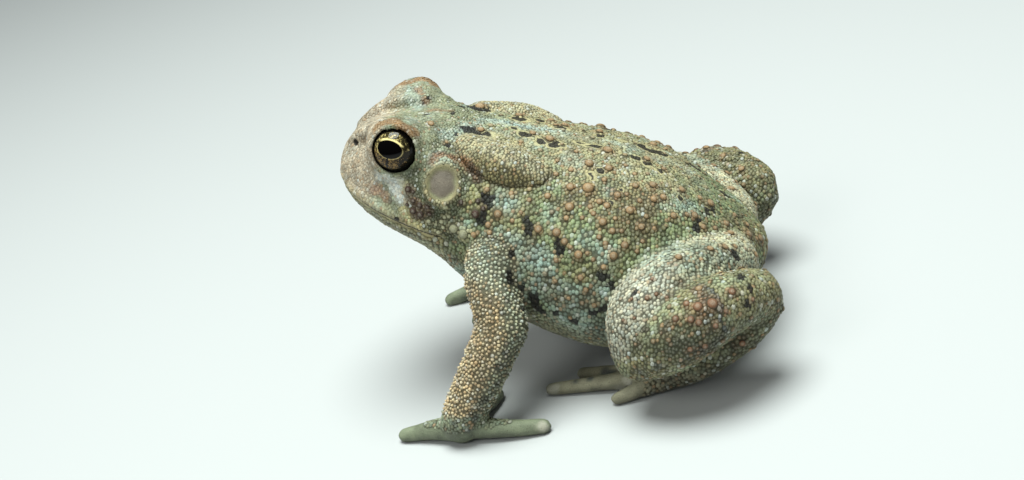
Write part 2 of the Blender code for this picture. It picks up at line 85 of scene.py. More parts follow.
def node_middle(name):
    low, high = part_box(name)
    return np.array((low + high) / 2)


between_eyes = (node_middle("eye_left") + node_middle("eye_right")) / 2
snout_tip = between_eyes - MM * (EYE_PLACE[0] * TAILWARD + EYE_PLACE[2] * UPWARD)


def to_body(points):
    return (np.asarray(points) - snout_tip) @ BODY_AXES.T / MM


print("snout tip in mm:", np.round(snout_tip / MM, 2))

# %% [markdown]
# The photograph looks down on the left side from a little behind the snout's line, and the camera was
# held at a slant. The camera is aimed at a point beside the toad and then slid so that this point falls on
# the pixel where the photograph has it. That keeps the framing without any shift of the lens.

# %% Camera at the photograph's angle
IMAGE_WIDTH, IMAGE_HEIGHT = 1024, 480
CAMERA_AZIMUTH = math.radians(14.5)
CAMERA_ELEVATION = math.radians(24.5)
CAMERA_ROLL = math.radians(16.0)
FIELD_OF_VIEW = math.radians(36.0)
CAMERA_DISTANCE = 270.0 * MM
AIM_FROM_SNOUT = np.array((28.3, -26.0, -45.9)) * MM
AIM_PIXEL = (545.0, 425.0)

focal_pixels = IMAGE_WIDTH / 2 / math.tan(FIELD_OF_VIEW / 2)
level_right = np.array((math.cos(CAMERA_AZIMUTH), math.sin(CAMERA_AZIMUTH), 0.0))
backward = np.array((
    math.sin(CAMERA_AZIMUTH) * math.cos(CAMERA_ELEVATION),
    -math.cos(CAMERA_AZIMUTH) * math.cos(CAMERA_ELEVATION),
    math.sin(CAMERA_ELEVATION),
))
level_up = np.cross(backward, level_right)
camera_right = level_right * math.cos(CAMERA_ROLL) - level_up * math.sin(CAMERA_ROLL)
camera_up = level_right * math.sin(CAMERA_ROLL) + level_up * math.cos(CAMERA_ROLL)
offset_right = (AIM_PIXEL[0] - IMAGE_WIDTH / 2) / focal_pixels
offset_down = (AIM_PIXEL[1] - IMAGE_HEIGHT / 2) / focal_pixels
camera_place = snout_tip + AIM_FROM_SNOUT + CAMERA_DISTANCE * (
    backward - offset_right * camera_right + offset_down * camera_up
)

camera_data = bpy.data.cameras.new("camera")
camera_data.sensor_width = 36.0
camera_data.lens = 18.0 / math.tan(FIELD_OF_VIEW / 2)
camera_data.clip_start = 0.01
camera = bpy.data.objects.new("camera", camera_data)
bpy.context.scene.collection.objects.link(camera)
camera.matrix_world = Matrix([
    [camera_right[i], camera_up[i], backward[i], camera_place[i]] for i in range(3)
] + [[0, 0, 0, 1]])
bpy.context.scene.camera = camera
print("camera at mm:", np.round(camera_place / MM, 1), "lens:", round(camera_data.lens, 1))

# %% [markdown]
# The solids of flesh stand 0.3 mm apart where they touch. Each copy is first merged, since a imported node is
# loose triangles, and swollen by a little more than half the gap, so that neighbours run into one another.
# A voxel remesh then wraps them all in one closed skin of small even squares.

# %% One closed skin round the flesh
SWELL = 0.2 * MM
VOXEL = 0.37 * MM

flesh_nodes = sorted(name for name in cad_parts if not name.startswith("eye_"))
flesh = bmesh.new()
for name in flesh_nodes:
    flesh.from_mesh(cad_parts[name].data)
bmesh.ops.remove_doubles(flesh, verts=flesh.verts, dist=1e-6)
flesh.normal_update()
for vert in flesh.verts:
    vert.co += vert.normal * SWELL
skin_mesh = bpy.data.meshes.new("toad_skin_draft")
flesh.to_mesh(skin_mesh)
flesh.free()
draft = bpy.data.objects.new("toad_skin_draft", skin_mesh)
bpy.context.scene.collection.objects.link(draft)
wrap = draft.modifiers.new("wrap", "REMESH")
wrap.mode = "VOXEL"
wrap.voxel_size = VOXEL
wrapped = bpy.data.meshes.new_from_object(
    draft.evaluated_get(bpy.context.evaluated_depsgraph_get())
)
bpy.data.objects.remove(draft)
skin = bpy.data.objects.new("toad_skin", wrapped)
bpy.context.scene.collection.objects.link(skin)
skin.data.name = "toad_skin"
print("skin:", len(wrapped.vertices), "points,", len(wrapped.polygons), "squares")

# %% [markdown]
# Working on the skin as arrays of numbers is far quicker than point by point. An average over the
# neighbours of each point is all that smoothing and the soft edges of markings need.

# %% The skin as arrays
def read_vectors(collection, field, width=3):
    flat = np.empty(len(collection) * width, np.float32)
    collection.foreach_get(field, flat)
    return flat.reshape(-1, width).astype(float)


skin_co = read_vectors(skin.data.vertices, "co")
skin_edges = np.empty(len(skin.data.edges) * 2, np.int32)
skin.data.edges.foreach_get("vertices", skin_edges)
skin_edges = skin_edges.reshape(-1, 2)
skin_quads = np.empty(len(skin.data.loops), np.int32)
skin.data.loops.foreach_get("vertex_index", skin_quads)
skin_quads = skin_quads.reshape(-1, 4)
edge_from = np.concatenate((skin_edges[:, 0], skin_edges[:, 1]))
edge_to = np.concatenate((skin_edges[:, 1], skin_edges[:, 0]))
neighbour_count = np.bincount(edge_from, minlength=len(skin_co))


def neighbour_mean(values):
    """The mean of the neighbours' values, for one column or several."""
    columns = values.reshape(len(values), -1)
    sums = [np.bincount(edge_from, columns[edge_to, c], len(columns)) for c in range(columns.shape[1])]
    return (np.stack(sums, 1) / neighbour_count[:, None]).reshape(values.shape)


def softened(values, rounds, weight=1.0):
    """Values drawn towards their neighbours' mean, by a weight that may vary."""
    for _ in range(rounds):
        values = values + 0.5 * weight * (neighbour_mean(values) - values)
    return values


def skin_normals():
    skin.data.vertices.foreach_set("co", skin_co.astype(np.float32).ravel())
    skin.data.update()
    return read_vectors(skin.data.vertex_normals, "vector")


print("edges:", len(skin_edges))

# %% [markdown]
# Each point of the skin remembers which solid it lies on, found with a search tree over all the solids'
# triangles. The memories become masks with soft edges, which steer both the smoothing and the colours.

# %% Which part each point belongs to
PARTS = (
    "torso", "head", "lower_jaw", "ear_drum", "parotoid",
    "upper_arm", "forearm", "hand", "thigh", "shank", "foot",
)

tree_points = []
tree_faces = []
tree_part = []
for name in flesh_nodes:
    start = len(tree_points)
    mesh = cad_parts[name].data
    tree_points.extend(v.co.copy() for v in mesh.vertices)
    tree_faces.extend([start + i for i in p.vertices] for p in mesh.polygons)
    part = next(i for i, part in enumerate(PARTS) if name.startswith(part))
    tree_part.extend([part] * len(mesh.polygons))
solids_tree = BVHTree.FromPolygons(tree_points, tree_faces)
nearest_part = np.array([tree_part[solids_tree.find_nearest(Vector(p))[2]] for p in skin_co])
MASK_ROUNDS = 6
part_mask = {
    part: softened((nearest_part == i).astype(float), MASK_ROUNDS) for i, part in enumerate(PARTS)
}
print({part: int((nearest_part == i).sum()) for i, part in enumerate(PARTS)})

# %% [markdown]
# The solids are faceted and carry a few coarse warts. Drawing every point towards its neighbours melts
# facets, seams and warts away. Broad parts take many rounds, and the lids, lips and toes only a few, so
# the weight of the smoothing follows the masks.

# %% Melt the facets and seams
SMOOTH_ROUNDS = 80
SMOOTH_WEIGHT = {
    "torso": 1.0, "head": 0.09, "lower_jaw": 0.2, "ear_drum": 0.09, "parotoid": 0.45, "upper_arm": 0.5,
    "forearm": 0.45, "hand": 0.07, "thigh": 0.5, "shank": 0.5, "foot": 0.1,
}

GROUPS = (
    ("torso", "head", "lower_jaw", "ear_drum", "parotoid"), ("upper_arm", "forearm", "hand"),
    ("thigh",), ("shank",), ("foot",),
)

smooth_weight = sum(part_mask[part] * SMOOTH_WEIGHT[part] for part in PARTS)
group_mask = np.stack([sum(part_mask[part] for part in group) for group in GROUPS])
fold = np.clip(2 * (1 - group_mask.max(axis=0)), 0, 1)
gland_near = np.clip(3 * softened((nearest_part == PARTS.index("parotoid")).astype(float), 24), 0, 1)
smooth_weight = softened(smooth_weight * (1 - 0.8 * fold) * (1 - 0.75 * gland_near), 3)
skin_co = softened(skin_co, SMOOTH_ROUNDS, smooth_weight[:, None])
skin_no = skin_normals()
print("mean smoothing weight:", round(float(smooth_weight.mean()), 2))

# %% [markdown]
# Markings on a living skin are never even. A smooth noise of a chosen size, worked out from the place in the
# body, bends every edge and mottles every colour. It is made here from scratch, so that the skin and the
# grains sown on it later read exactly the same pattern.

# %% Noise and soft steps for the markings
def soft_step(values, low, high):
    t = np.clip((values - low) / (high - low), 0.0, 1.0)
    return t * t * (3.0 - 2.0 * t)


def mottle(places, size, seed):
    """Smooth random values from -1 to 1 that change over about size millimetres."""
    cell = places / size + 17.31 * seed
    base = np.floor(cell).astype(np.int64)
    part = cell - base
    part = part * part * (3.0 - 2.0 * part)
    total = np.zeros(len(places))
    for corner in np.ndindex(2, 2, 2):
        key = (base + corner) @ np.array((73856093, 19349663, 83492791))
        key = (key ^ (key >> 13)) * 1274126177
        value = ((key ^ (key >> 16)) & 0xFFFF) / 32767.5 - 1.0
        total += value * np.prod(np.where(corner, part, 1.0 - part), axis=1)
    return total


body = to_body(skin_co)
along, across, above = body.T
outward = skin_no @ BODY_AXES.T
NOISE_SIZES = ((7.0, 1), (2.6, 2), (1.1, 3))
coarse, medium, small = (mottle(body, size, seed) for size, seed in NOISE_SIZES)
print("noise range:", round(float(coarse.min()), 2), round(float(coarse.max()), 2))

# %% [markdown]
# Warts, blotches and brows differ from toad to toad, so this animal's own are placed one by one. Most are
# named by the pixel where the photograph shows them. A ray from the camera through that pixel finds the
# place on the skin, and what lies well off the middle line is set on the hidden side as well, since it
# can't be seen there.

# %% Looking through the camera
skin_tree = BVHTree.FromPolygons(skin_co.tolist(), skin_quads.tolist())
MIDDLE_WIDTH = 8.0


def seen(pixel_x, pixel_y):
    """The place in the body that the photograph shows at a pixel."""
    aim = camera_right * (pixel_x - IMAGE_WIDTH / 2) - camera_up * (pixel_y - IMAGE_HEIGHT / 2)
    hit = skin_tree.ray_cast(Vector(camera_place), Vector(aim / focal_pixels - backward).normalized())[0]
    return None if hit is None else to_body(hit)


def placed(rows):
    """Rows of pixel and radius as rows of place and radius, with their like on the other side."""
    found = [(seen(x, y), radius) for x, y, radius in rows]
    found = [(place, radius) for place, radius in found if place is not None]
    mirrored = [(place * (1, -1, 1), radius) for place, radius in found if abs(place[1]) > MIDDLE_WIDTH]
    return np.array([(*place, radius) for place, radius in found + mirrored])


print("the eye's pixel looks at:", np.round(seen(393, 150), 1))

# %% [markdown]
# The closed mouth is one long crease round the snout, with the lips swelling on both sides of it. A crease
# in a skin is a valley, so the points near the line are drawn inwards, and black paint along its very bottom
# stands for the shade in it.

# %% The line of the mouth
MOUTH_FRONT = -2.8
MOUTH_CORNER = (21.4, -4.9)
CREASE_DEPTH = 0.35 * MM
CREASE_HALF_WIDTH = 0.5

mouth_height = MOUTH_FRONT + (MOUTH_CORNER[1] - MOUTH_FRONT) * along / MOUTH_CORNER[0]
mouth_gap = above - mouth_height
on_mouth = part_mask["head"] + part_mask["lower_jaw"]
on_mouth = on_mouth * soft_step(-along, -MOUTH_CORNER[0] - 0.5, -MOUTH_CORNER[0] + 1.5)
on_mouth *= soft_step(np.abs(outward[:, 1]) + np.maximum(-outward[:, 0], 0), 0.2, 0.6)
crease = on_mouth * np.exp(-(mouth_gap / CREASE_HALF_WIDTH) ** 2)
skin_co = skin_co - skin_no * (CREASE_DEPTH * crease)[:, None]
print("points in the crease:", int((crease > 0.5).sum()))

# %% [markdown]
# A nostril is a small round pit, drawn in towards a point on each side of the snout, and its bottom is later
# painted black as its shade.

# %% The nostrils
NOSTRIL_PIXEL = (355, 142)
NOSTRIL_HALF_WIDTH = 0.6
NOSTRIL_DEPTH = 0.7 * MM

nostril_gap = np.full(len(skin_co), 9.0)
for sign in (1, -1):
    opening = seen(*NOSTRIL_PIXEL) * (1, sign, 1)
    nostril_gap = np.minimum(nostril_gap, np.linalg.norm(body - opening, axis=1))
skin_co = skin_co - skin_no * (NOSTRIL_DEPTH * np.exp(-(nostril_gap / NOSTRIL_HALF_WIDTH) ** 2))[:, None]
print("points in the nostrils:", int((nostril_gap < NOSTRIL_HALF_WIDTH).sum()))

# %% [markdown]
# The drum of the ear is a thin round skin held in a raised ring, with a fold of skin arching over it.

# %% Ear ring, and the fold above it
EAR_PLACE = np.array((19.3, 13.6, 4.9))
EAR_RING = 2.85
EAR_OVAL = (1, 0.6, 0.92)

ear_gap = np.full(len(skin_co), np.inf)
for sign in (1, -1):
    from_ear = (body - EAR_PLACE * (1, sign, 1)) * EAR_OVAL
    ear_gap = np.minimum(ear_gap, np.linalg.norm(from_ear, axis=1))
ear_rise = 0.32 * np.exp(-((ear_gap - EAR_RING) / 0.4) ** 2) - 0.22 * (1 - soft_step(ear_gap, 2.0, 2.6))
arch_height = 9.0 - 0.03 * (along - 20.5) ** 2
arch = np.exp(-((above - arch_height) / 0.7) ** 2) * soft_step(along, 15.5, 17.5)
arch = arch * (1 - soft_step(along, 23.0, 25.0))
arch *= soft_step(np.abs(across), 9.5, 10.5)
skin_co = skin_co + skin_no * (MM * (ear_rise + 0.35 * arch))[:, None]
print("points on the ear ring:", int((ear_rise > 0.15).sum()))

# %% [markdown]
# The parotoid gland is a long swelling behind the eye that stands off the neck with a clear edge, so a groove
# is drawn in where the gland's solid ends, and its shade is painted into the colours later.

# %% The groove round the gland
GLAND_GROOVE = 0.32 * MM

gland_share = softened((nearest_part == PARTS.index("parotoid")).astype(float), 4)
gland_rim = np.clip(4.5 * gland_share * (1 - gland_share), 0, 1)
gland_low = gland_rim * soft_step(np.abs(outward[:, 1]) - 0.5 * outward[:, 2] + 0.3 * (along > 33), -0.1, 0.5)
skin_co = skin_co - skin_no * (GLAND_GROOVE * gland_low)[:, None]
print("points in the groove:", int((gland_low > 0.5).sum()))

# %% [markdown]
# Where the thigh folds against the flank the loose skin gathers in fine pleats that follow the fold. They
# are shallow waves across the pleats, bent by noise so that none is straight.

# %% Pleats of the groin and the armpit
PLEAT_DEPTH = 0.11 * MM
PLEAT_WIDTH = 1.25

flank_side = np.abs(across)
groin = soft_step(along, 56.0, 60.0) * (1 - soft_step(along, 69.0, 73.0)) * soft_step(flank_side, 13.0, 17.0)
groin *= (
    soft_step(above, 1.5, 4.0) * (1 - soft_step(above, 7.0, 9.0)) * (1 - soft_step(flank_side, 24.0, 28.0))
)
armpit = np.exp(-((along - 30.5) ** 2 + (flank_side - 17.0) ** 2 + (above + 3.0) ** 2) / 12.0)
pleat_phase = (above + 0.35 * flank_side - 0.25 * along + 0.8 * medium) / PLEAT_WIDTH
pleats = np.sin(2 * math.pi * pleat_phase) * np.maximum(groin, armpit)
skin_co = skin_co + skin_no * (PLEAT_DEPTH * pleats)[:, None]
skin_no = skin_normals()
print("pleated points:", int((groin > 0.5).sum()), int((armpit > 0.5).sum()))

# %% [markdown]
# Warts and grains are sown like seeds that keep their distance from one another. Many random places are
# drawn on the squares of the skin, more of them where the spacing is small. They are then taken in a random
# order, and each one kept clears its own neighbourhood.

# %% Sowing places on the skin
class Seeds:
    """Places on the skin's squares, which can carry any value of the skin's points."""

    def __init__(self, quad, u, v):
        self.quad, self.u, self.v = quad, u, v

    def __len__(self):
        return len(self.quad)

    def carry(self, values):
        corner = values[skin_quads[self.quad]]
        u = self.u.reshape(-1, *[1] * (values.ndim - 1))
        v = self.v.reshape(-1, *[1] * (values.ndim - 1))
        near = corner[:, 0] * (1 - u) + corner[:, 1] * u
        far = corner[:, 3] * (1 - u) + corner[:, 2] * u
        return near * (1 - v) + far * v

    def pick(self, chosen):
        return Seeds(self.quad[chosen], self.u[chosen], self.v[chosen])


def sown(spacing, seed, tries=5.0, stretch=None, allowed=None):
    """Seeds no closer than a spacing in millimetres that varies over the skin and is 0 where none grow."""
    rng = np.random.default_rng(seed)
    corner = skin_co[skin_quads] / MM
    area = np.linalg.norm(np.cross(corner[:, 2] - corner[:, 0], corner[:, 3] - corner[:, 1]), axis=1) / 2
    quad_spacing = spacing[skin_quads].min(axis=1)
    share = np.where(quad_spacing > 0, area / np.maximum(quad_spacing, 0.05) ** 2, 0.0)
    count = int(share.sum() * tries)
    quad = rng.choice(len(share), count, p=share / share.sum())
    drawn = Seeds(quad, rng.random(count), rng.random(count))
    places = drawn.carry(to_body(skin_co))
    if allowed is not None:
        chosen = allowed(places)
        drawn, places, count = drawn.pick(chosen), places[chosen], int(chosen.sum())
    if stretch is not None:
        places = places * stretch
    reach = drawn.carry(spacing)
    tree = KDTree(count)
    for i, place in enumerate(places):
        tree.insert(place, i)
    tree.balance()
    free = np.ones(count, bool)
    kept = []
    for i in range(count):
        if free[i]:
            kept.append(i)
            for _, j, _ in tree.find_range(places[i], reach[i]):
                free[j] = False
    return drawn.pick(np.array(kept))


skin_places = KDTree(len(skin_co))
for i, place in enumerate(to_body(skin_co)):
    skin_places.insert(place, i)
skin_places.balance()
print("squares to sow on:", len(skin_quads))

# %% [markdown]
# The large warts of the back and flanks are the mark of the species. Those that can be told apart are put
# where they are on this animal, on both sides alike, and the rest are sown. Each one is a round swelling of
# the skin with a separate smooth cap on it, as a real wart has.

# %% Where the warts are
FLANK_WARTS = (
    (589, 165, 1.0), (571, 170, 0.6), (609, 169, 0.9), (588, 189, 1.25), (570, 188, 0.9), (604, 180, 0.6),
    (617, 195, 0.8), (627, 194, 0.5), (635, 187, 0.75), (652, 186, 0.85), (635, 174, 0.5), (663, 198, 0.8),
    (653, 200, 0.8), (639, 201, 0.6), (600, 202, 0.7), (607, 206, 0.75), (590, 207, 0.6), (569, 208, 1.0),
    (593, 214, 0.6), (630, 211, 0.9), (583, 218, 0.5), (566, 219, 0.6), (615, 219, 0.5), (603, 223, 0.9),
    (613, 231, 0.7), (622, 231, 0.5), (641, 228, 0.75), (654, 228, 0.5), (599, 237, 0.6), (606, 244, 0.6),
    (625, 245, 0.85), (564, 242, 0.75), (571, 247, 0.5), (579, 254, 0.9), (587, 253, 0.5), (594, 259, 0.5),
    (614, 256, 0.9), (637, 251, 0.5), (643, 241, 0.5), (556, 175, 0.6), (557, 161, 0.5), (512, 194, 0.6),
    (548, 197, 0.75), (530, 200, 0.5), (498, 214, 0.9), (489, 225, 0.7), (490, 233, 0.6), (512, 221, 0.5),
    (521, 212, 0.5), (538, 230, 0.85), (556, 233, 0.95), (557, 260, 0.6), (603, 267, 0.6), (580, 278, 0.7),
    (586, 290, 0.6), (569, 297, 0.5), (556, 281, 0.5), (595, 304, 0.6), (571, 317, 0.5), (488, 190, 0.6),
    (474, 234, 0.7),
)
BACK_WARTS = (
    (480, 108, 1.15), (481, 131, 0.8), (519, 117, 0.95), (551, 122, 0.9), (556, 126, 0.6), (533, 134, 0.7),
    (549, 140, 1.0), (599, 133, 0.9), (607, 152, 1.15), (643, 131, 0.8), (653, 146, 0.95), (646, 160, 0.8),
    (666, 150, 0.6), (664, 170, 0.6), (564, 126, 0.8), (520, 143, 0.5), (446, 143, 0.4), (431, 124, 0.7),
    (575, 152, 0.5), (625, 166, 0.5),
)
RUMP_WARTS = (
    (681, 191, 0.8), (699, 199, 0.7), (709, 204, 0.95), (673, 216, 0.8), (686, 215, 0.6), (694, 216, 0.8),
    (725, 224, 0.8), (703, 227, 0.7), (714, 228, 0.6), (731, 234, 0.8), (747, 234, 0.9), (759, 238, 0.8),
    (734, 215, 0.6), (746, 225, 0.6), (755, 255, 0.7), (701, 260, 0.5), (714, 166, 0.8), (726, 174, 0.8),
    (742, 170, 0.8), (724, 156, 0.7), (706, 149, 0.8), (686, 154, 0.8), (735, 182, 0.6),
)
LEG_WARTS = (
    (698, 307, 1.0), (712, 304, 1.15), (676, 319, 0.75), (691, 319, 0.75), (686, 304, 0.7),
    (699, 322, 0.7), (732, 292, 0.8), (652, 280, 0.45), (657, 294, 0.45), (647, 299, 0.5), (632, 299, 0.4),
    (667, 297, 0.4), (634, 318, 0.35), (623, 321, 0.35), (742, 343, 0.7), (716, 326, 0.6),
    (725, 312, 0.55), (752, 300, 0.5), (705, 345, 0.6), (690, 350, 0.6),
)
DARK_WARTS = (
    (408, 189, 0.7), (413, 191, 0.45), (407, 204, 0.4), (413, 211, 0.75), (421, 213, 0.85),
    (427, 206, 0.65), (420, 204, 0.65), (414, 201, 0.6), (430, 213, 0.55), (476, 213, 0.9),
    (483, 208, 0.6), (479, 201, 0.55), (461, 203, 0.55),
)
PALE_WARTS = (
    (438, 232, 0.5), (441, 221, 0.5), (445, 217, 0.45), (449, 216, 0.5), (453, 227, 1.0), (464, 234, 1.1),
    (444, 227, 0.45), (446, 206, 0.6), (429, 221, 0.5), (436, 224, 0.4),
)

wart_groups = {
    "tan": placed(FLANK_WARTS + BACK_WARTS + RUMP_WARTS), "red": placed(LEG_WARTS),
    "dark": placed(DARK_WARTS), "pale": placed(PALE_WARTS),
}
WART_RUST = {"tan": 0.3, "red": 0.2, "dark": 0.0, "pale": 0.0}
named = np.concatenate(list(wart_groups.values()))
print("named warts:", {kind: len(rows) for kind, rows in wart_groups.items()})

# %% Sow the other warts
WARTS_APART = 2.3
WART_CLEARANCE = 1.2

trunk = part_mask["torso"]
upper_side = soft_step(above + 2.0 * coarse, -11.0, -6.0)
wart_spacing = np.zeros(len(skin_co))
for chosen, apart in (
    (trunk * upper_side > 0.5, WARTS_APART + 0.8 * soft_step(above, 8.0, 11.0)),
    ((part_mask["shank"] > 0.5) | (part_mask["thigh"] > 0.5), WARTS_APART),
    ((part_mask["foot"] > 0.6) & (along > 62) & (above > -21), 2.4),
    (groin > 0.5, 0.0),
    ((part_mask["lower_jaw"] > 0.5) & (along < 17), 0.0),
    *((np.linalg.norm(body - place, axis=1) < radius + WART_CLEARANCE, 0.0) for *place, radius in named),
    ((outward[:, 2] < -0.75) | (skin_co[:, 2] < 1.5 * MM), 0.0),
):
    wart_spacing = np.where(chosen, apart, wart_spacing)
wart_seeds = sown(wart_spacing, seed=11)
rng = np.random.default_rng(12)
sown_place = wart_seeds.carry(body)
sown_radius = 0.3 + 0.34 * rng.random(len(wart_seeds)) ** 1.5
sown_radius *= np.where(wart_seeds.carry(part_mask["thigh"]) > 0.5, 0.8, 1.0)
wart_place = np.concatenate((named[:, :3], sown_place))
wart_radius = np.concatenate((named[:, 3], sown_radius))
print("warts:", len(wart_place), "radii in mm:", np.round((wart_radius.min(), wart_radius.max()), 2))

# %% Raise the skin under the warts
WART_FLARE = 1.8
WART_SWELLING = 0.42

swelling = np.zeros(len(skin_co))
warty = np.zeros(len(skin_co))
for place, radius in zip(wart_place, wart_radius):
    for _, i, gap in skin_places.find_range(Vector(place), radius * WART_FLARE):
        rise = (1 - (gap / (radius * WART_FLARE)) ** 2) ** 2
        swelling[i] = max(swelling[i], rise * radius * WART_SWELLING)
        warty[i] = max(warty[i], 1 - gap / (radius * WART_FLARE))
skin_co = skin_co + skin_no * (swelling * MM)[:, None]
skin_no = skin_normals()
print("swollen points:", int((swelling > 0).sum()))

# %% [markdown]
# The solids' box is the toad's true size, so nothing of the render may leave it. The skin is laid just
# inside the box, by the height that the grains will add, and flat on the floor under the hands and feet.

# %% Keep the skin in its box
GRAIN_ROOM = 0.25 * MM

inner_low = np.array(cad_low) + (GRAIN_ROOM, GRAIN_ROOM, 0.0)
inner_high = np.array(cad_high) - GRAIN_ROOM
skin_co = np.clip(skin_co, inner_low, inner_high)
skin_no = skin_normals()
body = to_body(skin_co)
along, across, above = body.T
outward = skin_no @ BODY_AXES.T
print("skin box in mm:", np.round((skin_co.max(0) - skin_co.min(0)) / MM, 1))

# %% [markdown]
# The colours are laid as a painter would: a ground for each part, then broad changes from back to belly,
# then the named marks of this animal, and painted shade on the undersides, the lower shank and in hollows.
# They are kept at the points of the skin, so the grains can take them up where they root. Colours are given
# as they look in daylight and turned into light by a formula.

# %% The toad's colours
def daylight(red, green, blue):
    value = np.array((red, green, blue)) / 255.0
    return np.where(value <= 0.04045, value / 12.92, ((value + 0.055) / 1.055) ** 2.4)


BACK_TAN = daylight(148, 142, 104)
BACK_GREEN = daylight(130, 138, 106)
MIDLINE_BLUE = daylight(158, 174, 162)
GLAND_TAN = daylight(166, 158, 122)
GLAND_SIDE_SHADE = daylight(110, 98, 54)
GROOVE_SHADE = daylight(70, 60, 36)
FLANK_GREEN = daylight(124, 136, 94)
FLANK_YELLOW = daylight(154, 142, 90)
FLANK_BLUE = daylight(162, 184, 172)
FLANK_DARK = daylight(82, 88, 56)
FLANK_UMBER_AND_SHADE = daylight(98, 84, 50)
BELLY_CREAM = daylight(150, 148, 118)
GROIN_GREEN = daylight(136, 156, 136)
SNOUT_PINK = daylight(164, 150, 128)
SNOUT_BROWN = daylight(120, 100, 76)
CROWN_GREEN = daylight(124, 128, 98)
CROWN_BLUE = daylight(146, 160, 146)
CHEEK_GREY_AND_SHADE = daylight(76, 82, 54)
CHEEK_WHITE = daylight(212, 214, 204)
CHEEK_CREAM = daylight(190, 182, 130)
LIP_YELLOW = daylight(176, 162, 118)
LIP_PINK = daylight(168, 122, 100)
BROW_RUST = daylight(128, 94, 54)
RIDGE_BROWN = daylight(128, 84, 48)
PIT_SHADE_BROWN = daylight(66, 44, 26)
EAR_GREY = daylight(118, 108, 94)
EAR_RIM = daylight(160, 148, 108)
ARM_TAN = daylight(196, 176, 138)
ARM_INNER = daylight(162, 170, 144)
ARM_PALE = daylight(196, 200, 172)
KNEE_GREY = daylight(178, 176, 154)
SHANK_OLIVE = daylight(122, 118, 80)
SHANK_GREEN = daylight(146, 154, 118)
SHANK_SHADE_OLIVE = daylight(78, 80, 54)
HEEL_OLIVE = daylight(124, 126, 92)
FAR_TAN = daylight(182, 178, 146)
FINGER_GREY = daylight(122, 130, 104)
TOE_GREY = daylight(140, 136, 112)
TOE_PALE = daylight(196, 192, 172)
SLATE = daylight(62, 68, 70)
DARK_BROWN = daylight(70, 52, 34)
WART_TAN = daylight(152, 122, 84)
WART_RED = daylight(122, 84, 58)
WART_DARK = daylight(62, 36, 26)
WART_PALE = daylight(176, 174, 138)
WART_COLOUR = {"tan": WART_TAN, "red": WART_RED, "dark": WART_DARK, "pale": WART_PALE}


def laid(ground, colour, mask):
    return ground + (colour - ground) * np.clip(mask, 0, 1)[:, None]


def near(centre, radius, softness=1.0):
    """A soft round mask about a place in the body, with its edge bent by noise."""
    gap = np.linalg.norm(body - centre, axis=1) + 0.35 * radius * small
    return 1 - soft_step(gap, radius * (1 - softness * 0.6), radius * (1 + softness * 0.4))


# The skin has moved since the noise was first worked out, so it is worked out again.
coarse, medium, small = (mottle(body, size, seed) for size, seed in NOISE_SIZES)
print("white in light:", np.round(daylight(255, 255, 255), 2))

# %% Soft patches
def patched(paint, colour, rows, strength, softness=1.0):
    """The paint with round soft patches, given by pixel and radius in millimetres."""
    for *place, radius in placed(rows):
        paint = laid(paint, colour, near(place, radius, softness) * strength)
    return paint


def spread_band(line, radius, steps=3):
    """The points of a line with more between them, so that the patches on it merge into a band."""
    points = np.array(line, float)
    t = np.linspace(0, len(points) - 1, (len(points) - 1) * steps + 1)
    known = range(len(points))
    return tuple((np.interp(u, known, points[:, 0]), np.interp(u, known, points[:, 1]), radius) for u in t)


print("patch helpers ready")

# %% Ground colours of trunk and limbs
GROIN_PATCHES = (
    (648, 262, 2.0), (665, 256, 2.2), (683, 252, 2.4), (702, 250, 2.4), (720, 250, 2.4), (738, 252, 2.0),
    (750, 262, 1.6), (728, 262, 2.0), (705, 266, 2.0), (685, 268, 1.8), (672, 246, 1.6), (655, 268, 1.6),
)
UMBER_AND_SHADE_PATCHES = (
    (600, 196, 3.0), (622, 201, 3.0), (645, 199, 3.0), (657, 192, 2.4), (612, 184, 2.0), (580, 197, 2.4),
    (655, 205, 2.2), (640, 215, 2.4), (628, 225, 2.4), (615, 215, 2.2), (745, 225, 2.6), (757, 240, 2.2),
    (740, 240, 2.2), (730, 220, 2.0), (560, 205, 2.0), (640, 240, 2.0), (650, 228, 1.8), (530, 250, 2.0),
    (545, 285, 2.2), (590, 300, 2.4), (560, 300, 2.0),
)
BLUE_PATCHES = (
    (502, 200, 2.2), (512, 206, 2.0), (496, 240, 2.2), (510, 245, 2.2), (520, 262, 2.2), (516, 275, 1.8),
    (520, 295, 2.0), (535, 285, 1.8), (535, 255, 2.0), (550, 215, 1.8), (585, 240, 2.0), (600, 255, 1.8),
    (665, 205, 1.6), (680, 206, 2.0), (692, 210, 2.0), (700, 240, 1.8),
)
on_arms = part_mask["upper_arm"] + part_mask["forearm"]
paint = np.tile(FLANK_GREEN, (len(body), 1))
for wash in (
    (FLANK_YELLOW, soft_step(coarse + 0.4 * medium, 0.0, 0.7) * 0.6),
    (FLANK_BLUE, soft_step(mottle(body, 5.0, 7) - 0.05 * above, 0.1, 0.8) * 0.6),
    (FLANK_DARK, soft_step(mottle(body, 3.4, 14) + 0.4 * medium, 0.25, 0.9) * 0.7),
    (BACK_TAN, soft_step(above + 2.2 * medium, 7.5, 11.5)),
):
    paint = laid(paint, *wash)
